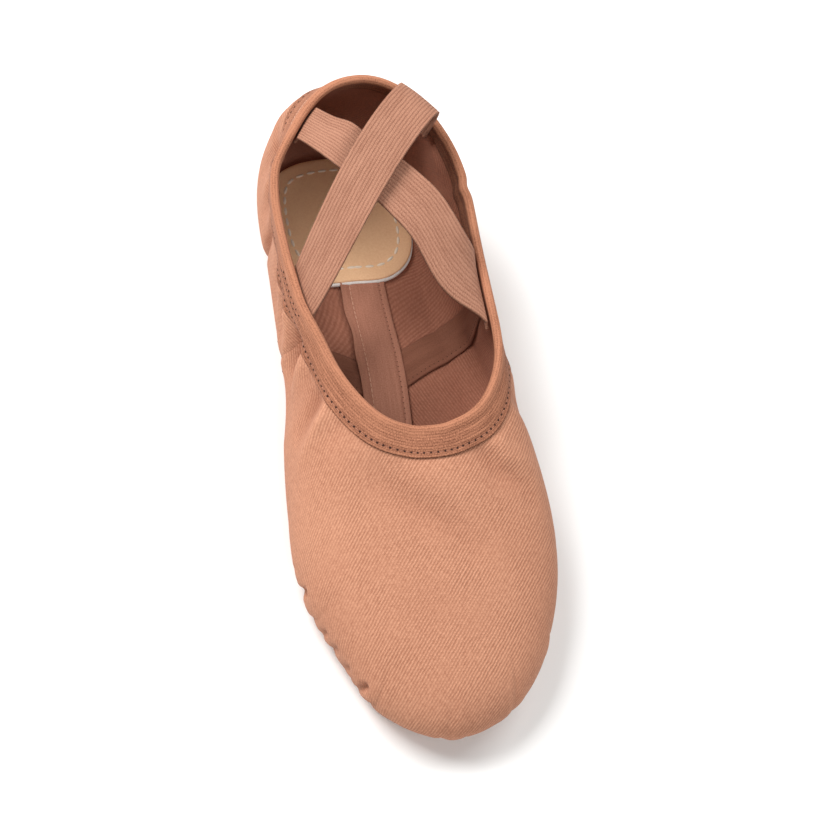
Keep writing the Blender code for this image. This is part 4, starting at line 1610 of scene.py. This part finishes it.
@dataclass
class Seams:
    """Seams of the arch: the tapes inside, and the lines that the stitches outside follow."""

    skin: Skin
    arch: ArchSeam
    row_apart: float = 0.0118
    tape_half: float = 8.0 * MM
    tape_rows: tuple[float, float] = (-4.6 * MM, 6.0 * MM)
    lip: float = 0.9 * MM
    lip_width: float = 3.4 * MM
    lip_curve: float = 1.5
    sewn_depth: float = 0.35 * MM
    sewn_half: float = 0.55 * MM
    edge_waves: tuple[Wave, Wave] = (Wave(0.28 * MM, 1 / (4.3 * MM)), Wave(0.196 * MM, 1 / (2.6 * MM), 1.0))
    tape_rise: float = 0.45 * MM
    band_low: float = 0.24
    band_row: float = 0.72
    band_row_low: float = 0.3
    tape_front: float = -48 * MM
    tape_rear: float = 56 * MM
    tape_turn: float = 0.043
    tape_pivot: float = -10 * MM
    tape_lift: float = 0.55 * MM
    tape_thick: float = 0.5 * MM
    crown: float = 0.25 * MM
    sewn_places: int = 32
    tape_strands: int = 65
    tape_steps: int = 120
    tape_points: int = 200
    band_strands: int = 15
    band_steps: int = 90

    def centre_path(self, out: float, front: float, rear: float, count: int = 24) -> list[Place]:
        """Line beside the centre seam under the foot."""
        return [self.skin.under(out, y) for y in np.linspace(front, rear, count)]

    def build(self, finishes: Finishes) -> None:
        """Make the tapes inside and dress them."""
        self.build_tape(finishes.tape)
        for side, name in ((1, "right"), (-1, "left")):
            self.build_band(f"arch_tape_{name}", side, finishes.band)

    def build_tape(self, material: Material) -> None:
        """Make the tape over the centre seam, whose loose edge is wavy."""
        out = np.linspace(-self.tape_half, self.tape_half, self.tape_strands)
        along = np.linspace(self.tape_rear, self.tape_front, self.tape_steps)
        level = self.tape_level(along)
        wave = sum(part.at(along) for part in self.edge_waves)
        loose = np.clip(-out / self.tape_half, 0, 1) ** 3
        points = np.stack([np.column_stack((self.tape_x(x, along) + wave * share, along, level + rise))
                           for x, rise, share in zip(out, self.tape_profile(out), loose)])
        self.dress("centre_tape", points, flat_grid(out, along), False, material)

    def build_band(self, name: str, side: int, material: Material) -> None:
        """Make the band over one arch seam.

        Args:
            name: Name of the piece.
            side: 1 for +X and -1 for -X.
            material: Its finish.
        """
        shifts = np.linspace(-1, 1, self.band_strands)
        around, climb = np.array(self.arch.path(side, low=self.band_low, count=self.band_steps)).T
        points = np.array([self.skin.at(around + side * shift * self.row_apart, climb[:, None],
                                        -CANVAS - self.tape_lift)[:, 0] for shift in shifts])
        laid = flat_grid(shifts * self.tape_half, run_lengths(points[self.band_strands // 2]))
        self.dress(name, points, laid, side > 0, material)

    def tape_level(self, along: np.ndarray) -> np.ndarray:
        """Height of the centre tape's edge by the place along it."""
        floor = self.skin.last.sole_level(0.5 - along / self.skin.last.length)
        return floor + CANVAS + self.tape_lift + self.tape_rise

    def tape_x(self, out: float, along: np.ndarray) -> np.ndarray:
        """X of a line along the centre tape, which lies a little askew."""
        return out + self.tape_turn * (along - self.tape_pivot)

    def tape_profile(self, out: np.ndarray) -> np.ndarray:
        """Height across the centre tape: a soft crown, sewn down along two rows, with one edge left loose."""
        crown = self.crown * (1 - (out / self.tape_half) ** 4)
        sewn = sum(self.sewn_depth * bell(out - row, self.sewn_half) for row in self.tape_rows)
        loose = np.clip((self.tape_rows[0] - out) / self.lip_width, 0, 1)
        return crown - sewn + self.lip * loose ** self.lip_curve

    def dress(self, name: str, points: np.ndarray, laid: np.ndarray, inward: bool, material: Material) -> None:
        """Make one tape from its table of points and dress it."""
        tape = cloth_sheet(name, points, laid, inward)
        make_thick(tape, self.tape_thick)
        fit(tape, material, "binding")

    def tape_line(self, row: int, offset: float) -> Line:
        """Line of one row of stitches on the centre tape, with the outward direction at each point."""
        out = self.tape_rows[row]
        along = np.linspace(self.tape_rear, self.tape_front, self.tape_points)
        rise = float(self.tape_profile(np.array(out))) + self.tape_thick / 2 + offset
        points = np.column_stack((self.tape_x(out, along), along, self.tape_level(along) + rise))
        return points, np.tile(UP, (len(along), 1))

    def band_line(self, side: int, offset: float) -> Line:
        """Line of the stitches along the front of an arch band, on its inner face."""
        inset = -CANVAS - self.tape_lift - self.tape_thick / 2 - offset
        path = self.arch.path(side, self.band_row * self.row_apart, self.band_row_low)
        points, normals = self.skin.line(path, inset)
        return points, -normals


class Thread(NamedTuple):
    """Stitches of one kind: their pitch, their length and the radius of the thread."""

    pitch: float
    length: float
    radius: float


@dataclass
class Stitching:
    """One kind of thread or needle hole, joined into one mesh."""

    name: str
    thread_sides: int = 6
    hole_sides: int = 8
    rings: int = 5
    hole_depth: float = 0.3
    mesh: bmesh.types.BMesh = field(default_factory=bmesh.new)

    def add(self, shapes: Sequence[Matrix], sides: int) -> None:
        """Add a row of small rounded bodies, made apart because adding to a large mesh is slow.

        Args:
            shapes: Size and place of each.
            sides: Segments round each.
        """
        row = bmesh.new()
        for shape in shapes:
            bmesh.ops.create_uvsphere(row, u_segments=sides, v_segments=self.rings, radius=1.0, matrix=shape)
        data = mesh_from(self.name, row)
        self.mesh.from_mesh(data)
        bpy.data.meshes.remove(data)

    def stitches(self, places: Sequence[Stitch], thread: Thread) -> None:
        """Add a row of stitches at these places."""
        shapes = []
        for place, way, out in places:
            size = (out * thread.radius, out.cross(way) * -thread.radius, way * thread.length / 2)
            shapes.append(Matrix.Translation(place) @ Matrix(size).transposed().to_4x4())
        self.add(shapes, self.thread_sides)

    def holes(self, places: Sequence[Stitch], radius: float) -> None:
        """Add a row of needle holes at these places: flat dark discs of painted shade."""
        shapes = []
        for place, way, out in places:
            size = (way * radius, out.cross(way) * radius, out * radius * self.hole_depth)
            shapes.append(Matrix.Translation(place) @ Matrix(size).transposed().to_4x4())
        self.add(shapes, self.hole_sides)

    def sew(self, line: Line, thread: Thread) -> list[Stitch]:
        """Add a row of stitches along a line.

        Args:
            line: Points, and the outward direction at each.
            thread: Its stitches.

        Returns:
            Where the stitches are.
        """
        places = evenly(*line, thread.pitch)
        self.stitches(places, thread)
        return places

    def build(self, material: Material, slot: str) -> None:
        """Turn the rows into a piece."""
        bmesh.ops.recalc_face_normals(self.mesh, faces=self.mesh.faces)
        data = mesh_from(self.name, self.mesh)
        data.shade_smooth()
        fit(add_object(self.name, data), material, slot)


def zigzag(places: Sequence[Stitch], swing: float) -> list[Stitch]:
    """Stitches that run to and fro across a row.

    Args:
        places: The row.
        swing: Distance that the stitches reach to each side.

    Returns:
        One slanted stitch between each two places of the row.
    """
    corners = [place + out.cross(way) * (swing if index % 2 else -swing)
               for index, (place, way, out) in enumerate(places)]
    return [((first + second) / 2, (second - first).normalized(), place[2])
            for first, second, place in zip(corners, corners[1:], places)]


class Tack(NamedTuple):
    """Where an elastic is sewn to the binding: the drop below the mouth, and first and last share round."""

    drop: float
    span: Place


@dataclass
class Sewing:
    """Every row of stitches on the slipper."""

    skin: Skin
    binding: CollarBinding
    seams: Seams
    finishes: Finishes
    proud: float = 0.03 * MM
    binding_thread: Thread = Thread(2.3 * MM, 1.9 * MM, 0.18 * MM)
    binding_points: int = 900
    binding_hole: float = 0.46 * MM
    hole_stray: Wave = Wave(0.25 * MM, 7.3)
    tacks: tuple[Tack, ...] = (Tack(3.4 * MM, (0.828, 0.784)), Tack(3.2 * MM, (0.196, 0.232)),
                               Tack(3.0 * MM, (0.040, 0.068)))
    tack_thread: Thread = Thread(1.2 * MM, 1.5 * MM, 0.16 * MM)
    tack_points: int = 60
    tack_swing: float = 0.7 * MM
    tack_hole: float = 0.40 * MM
    tack_hole_back: float = 0.8 * MM
    pale_tack: Tack = Tack(1.2 * MM, (0.934, 0.958))
    pale_thread: Thread = Thread(1.2 * MM, 1.9 * MM, 0.16 * MM)
    pale_swing: float = 0.9 * MM
    patch_thread: Thread = Thread(3.1 * MM, 2.3 * MM, 0.26 * MM)
    patch_level: float = 0.26 * MM
    patch_hole: float = 0.42 * MM
    patch_hole_sunk: float = 0.14 * MM
    sock_thread: Thread = Thread(4.2 * MM, 3.3 * MM, 0.60 * MM)
    sock_inset: float = 5.6 * MM
    seam_thread: Thread = Thread(1.6 * MM, 1.8 * MM, 0.15 * MM)
    seam_row: float = 0.9
    seam_pitch: float = 2.2 * MM
    seam_hole: float = 0.24 * MM
    centre_thread: Thread = Thread(1.6 * MM, 1.8 * MM, 0.17 * MM)
    centre_span: tuple[float, float] = (-26 * MM, 61 * MM)
    centre_rows: tuple[tuple[float, float], ...] = ((-5.8 * MM, 4 * MM), (5.8 * MM, -25 * MM))
    centre_rows_rear: float = 60 * MM
    tape_thread: Thread = Thread(2.0 * MM, 1.7 * MM, 0.15 * MM)
    tape_pitch: float = 1.9 * MM
    tape_hole: float = 0.22 * MM
    band_hole: float = 0.20 * MM

    def build(self, patches: Sequence[Plate], sock: Plate, sock_top: float) -> None:
        """Sew the binding, the patches, the sock and the arch seams.

        Args:
            patches: Plates of the suede patches.
            sock: Plate of the heel sock.
            sock_top: Height of its cover.
        """
        # Needle holes are flat dark discs of painted shade, in the needle hole shade material.
        holes = Stitching("needle_holes")
        self.sew_binding(holes)
        cream = Stitching("patch_thread")
        for plate in patches:
            line = plate.ring_line(SolePatches.stitch_inset, self.patch_level, -1.0)
            places = cream.sew(line, self.patch_thread)
            step = self.patch_thread.pitch / 2
            holes.holes([(place + way * step - out * self.patch_hole_sunk, way, out)
                         for place, way, out in places], self.patch_hole)
        cream.build(self.finishes.cream, "suede")
        white = Stitching("sock_thread")
        white.sew(sock.ring_line(self.sock_inset, sock_top, 1.0), self.sock_thread)
        white.build(self.finishes.white, "insole")
        self.sew_arch(holes)
        holes.build(self.finishes.hole, "binding")

    def sew_binding(self, holes: Stitching) -> None:
        """Sew the binding to the canvas, and the elastics to the binding."""
        salmon = Stitching("binding_thread")
        line = self.binding.stitch_line(self.binding.stitch_drop, (0.0, 1.0), self.binding_points)
        places = salmon.sew(line, self.binding_thread)
        step = self.binding_thread.pitch / 2
        holes.holes([(place + way * (step + self.hole_stray.at(index)), way, out)
                     for index, (place, way, out) in enumerate(places)], self.binding_hole)
        for tack in self.tacks:
            places = self.zigzag_tack(tack, self.tack_thread, self.tack_swing)
            holes.holes([(place - way * self.tack_hole_back, way, out)
                         for place, way, out in places], self.tack_hole)
            salmon.stitches(places, self.tack_thread)
        salmon.build(self.finishes.salmon, "binding")
        pale = Stitching("tack_thread")
        pale.stitches(self.zigzag_tack(self.pale_tack, self.pale_thread, self.pale_swing), self.pale_thread)
        pale.build(self.finishes.pale, "elastic")

    def zigzag_tack(self, tack: Tack, thread: Thread, swing: float) -> list[Stitch]:
        """Stitches of one tack, which run to and fro."""
        return zigzag(evenly(*self.binding.stitch_line(*tack, self.tack_points), thread.pitch), swing)

    def sew_arch(self, holes: Stitching) -> None:
        """Sew the seams under the arch and up the walls."""
        seams, arch = self.seams, self.seams.arch
        for side in (1, -1):
            for shift in (-seams.row_apart, seams.row_apart):
                path = arch.path(side, shift * self.seam_row)[:seams.sewn_places]
                holes.holes(evenly(*self.skin.line(path, self.proud), self.seam_pitch), self.seam_hole)
            holes.sew(self.skin.line(arch.path(side)[:seams.sewn_places], -self.proud), self.seam_thread)
        for out, front in self.centre_rows:
            path = seams.centre_path(out, front, self.centre_rows_rear)
            holes.holes(evenly(*self.skin.line(path, self.proud), self.seam_pitch), self.seam_hole)
        holes.sew(self.skin.line(seams.centre_path(NUDGE, *self.centre_span), -self.proud), self.centre_thread)
        holes.holes(evenly(*seams.tape_line(1, self.proud), self.tape_pitch), self.tape_hole)
        sewn = Stitching("tape_thread")
        sewn.sew(seams.tape_line(0, self.proud), self.tape_thread)
        sewn.build(self.finishes.pale, "binding")
        for side in (1, -1):
            holes.holes(evenly(*seams.band_line(side, self.proud), self.tape_pitch), self.band_hole)


@dataclass(frozen=True)
class Lamp:
    """Soft square light."""

    name: str
    place: tuple[float, float, float]
    power: float
    size: float = 0.8


@dataclass
class Studio:
    """Pale floor, soft light, and the camera."""

    azimuth: float = math.radians(-36.19)
    elevation: float = math.radians(60.77)
    roll: float = math.radians(27.09)
    distance: float = 1.1
    lens: float = 145.35
    sensor: float = 36.0
    target: tuple[float, float, float] = (0.0, 0.0, 0.02)
    aside: float = 3.6 * MM
    below: float = 0.4 * MM
    floor_half: float = 3.0
    floor_colour: Colour = (0.90, 0.90, 0.89)
    floor_roughness: float = 0.9
    sky_colour: Colour = (1.0, 0.985, 0.97)
    lamps: tuple[Lamp, ...] = (
        Lamp("key", (-0.75, 0.60, 1.10), 27.0),
        Lamp("front", (0.0, -0.95, 1.10), 7.5),
        Lamp("back", (0.80, 0.60, 1.00), 8.9),
    )
    ambient: float = 0.20

    def build(self) -> None:
        """Set up the studio."""
        self.build_floor()
        for lamp in self.lamps:
            self.build_lamp(lamp)
        world = bpy.data.worlds.new("studio")
        world.use_nodes = True
        background = world.node_tree.nodes["Background"]
        background.inputs["Color"].default_value = (*self.sky_colour, 1)
        background.inputs["Strength"].default_value = self.ambient
        bpy.context.scene.world = world
        bpy.context.scene.view_settings.view_transform = "Standard"
        self.build_camera()

    def build_lamp(self, lamp: Lamp) -> None:
        """Hang one lamp, turned to the slipper."""
        light = bpy.data.lights.new(lamp.name, "AREA")
        light.energy = lamp.power
        light.size = lamp.size
        way = Vector(lamp.place) - Vector(self.target)
        turn = way.to_track_quat("Z", "Y").to_matrix().to_4x4()
        add_object(lamp.name, light).matrix_world = Matrix.Translation(lamp.place) @ turn

    def build_floor(self) -> None:
        """Lay the pale floor."""
        plane = bmesh.new()
        bmesh.ops.create_grid(plane, x_segments=1, y_segments=1, size=self.floor_half)
        floor = add_object("floor", mesh_from("floor", plane))
        paint = bpy.data.materials.new("pale floor")
        paint.use_nodes = True
        shader = paint.node_tree.nodes["Principled BSDF"]
        shader.inputs["Base Color"].default_value = (*self.floor_colour, 1)
        shader.inputs["Roughness"].default_value = self.floor_roughness
        floor.data.materials.append(paint)

    def build_camera(self) -> None:
        """Place the camera, rolled as the slipper lies in the picture."""
        flat = math.cos(self.elevation)
        back = Vector((math.sin(self.azimuth) * flat, -math.cos(self.azimuth) * flat, math.sin(self.elevation)))
        right = Vector((math.cos(self.azimuth), math.sin(self.azimuth), 0))
        up = back.cross(right)
        across = right * math.cos(self.roll) + up * math.sin(self.roll)
        above = up * math.cos(self.roll) - right * math.sin(self.roll)
        aim = Vector(self.target) + across * self.aside - above * self.below
        data = bpy.data.cameras.new("camera")
        data.lens = self.lens
        data.sensor_width = self.sensor
        turn = Matrix((across, above, back)).transposed().to_4x4()
        camera = add_object("camera", data)
        camera.matrix_world = Matrix.Translation(aim + back * self.distance) @ turn
        bpy.context.scene.camera = camera


STRAPS: dict[str, ElasticLine] = {
    "elastic_strap_over": ElasticLine(
        StrapEnd(0.804, 19 * MM, 9 * MM, 27 * MM, 0.35, 0.0, 1.0),
        StrapEnd(0.054, 16 * MM, 9 * MM, 21.3 * MM, -0.67, 0.0, 1.0), (-1.0 * MM, 3.7 * MM, -4.8 * MM)),
    "elastic_strap_under": ElasticLine(
        StrapEnd(0.210, 24 * MM, 3 * MM, 22 * MM, 0.40, math.radians(26), 1.35),
        StrapEnd(0.941, 13 * MM, 4 * MM, 20 * MM, 0.60, math.radians(-12), 1.0), (0.6 * MM, -0.1 * MM, 2.8 * MM),
        (-3.0 * MM, -2.8 * MM, -0.6 * MM), 2.4 * MM),
}


def main() -> None:
    """Dress the frame as the slipper and set up its studio."""
    logging.basicConfig(level=logging.INFO, format="%(name)s: %(message)s")
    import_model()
    last = Last()
    arch = ArchSeam()
    skin = Skin(last, [*FOLDS.values(), *arch.folds()], Gathers(), arch)
    finishes = Finishes()
    Upper(skin, arch).build(finishes)
    binding = CollarBinding(skin)
    binding.build(finishes)
    for node, line in STRAPS.items():
        ElasticStrap(skin, node, line).build(finishes)
    patches = SolePatches(last).build(finishes)
    socks = Socks(last)
    sock = socks.build(finishes)
    seams = Seams(skin, arch)
    seams.build(finishes)
    Sewing(skin, binding, seams, finishes).build(patches, sock, socks.stitch_level)
    Studio().build()


if __name__ == "__main__":
    main()
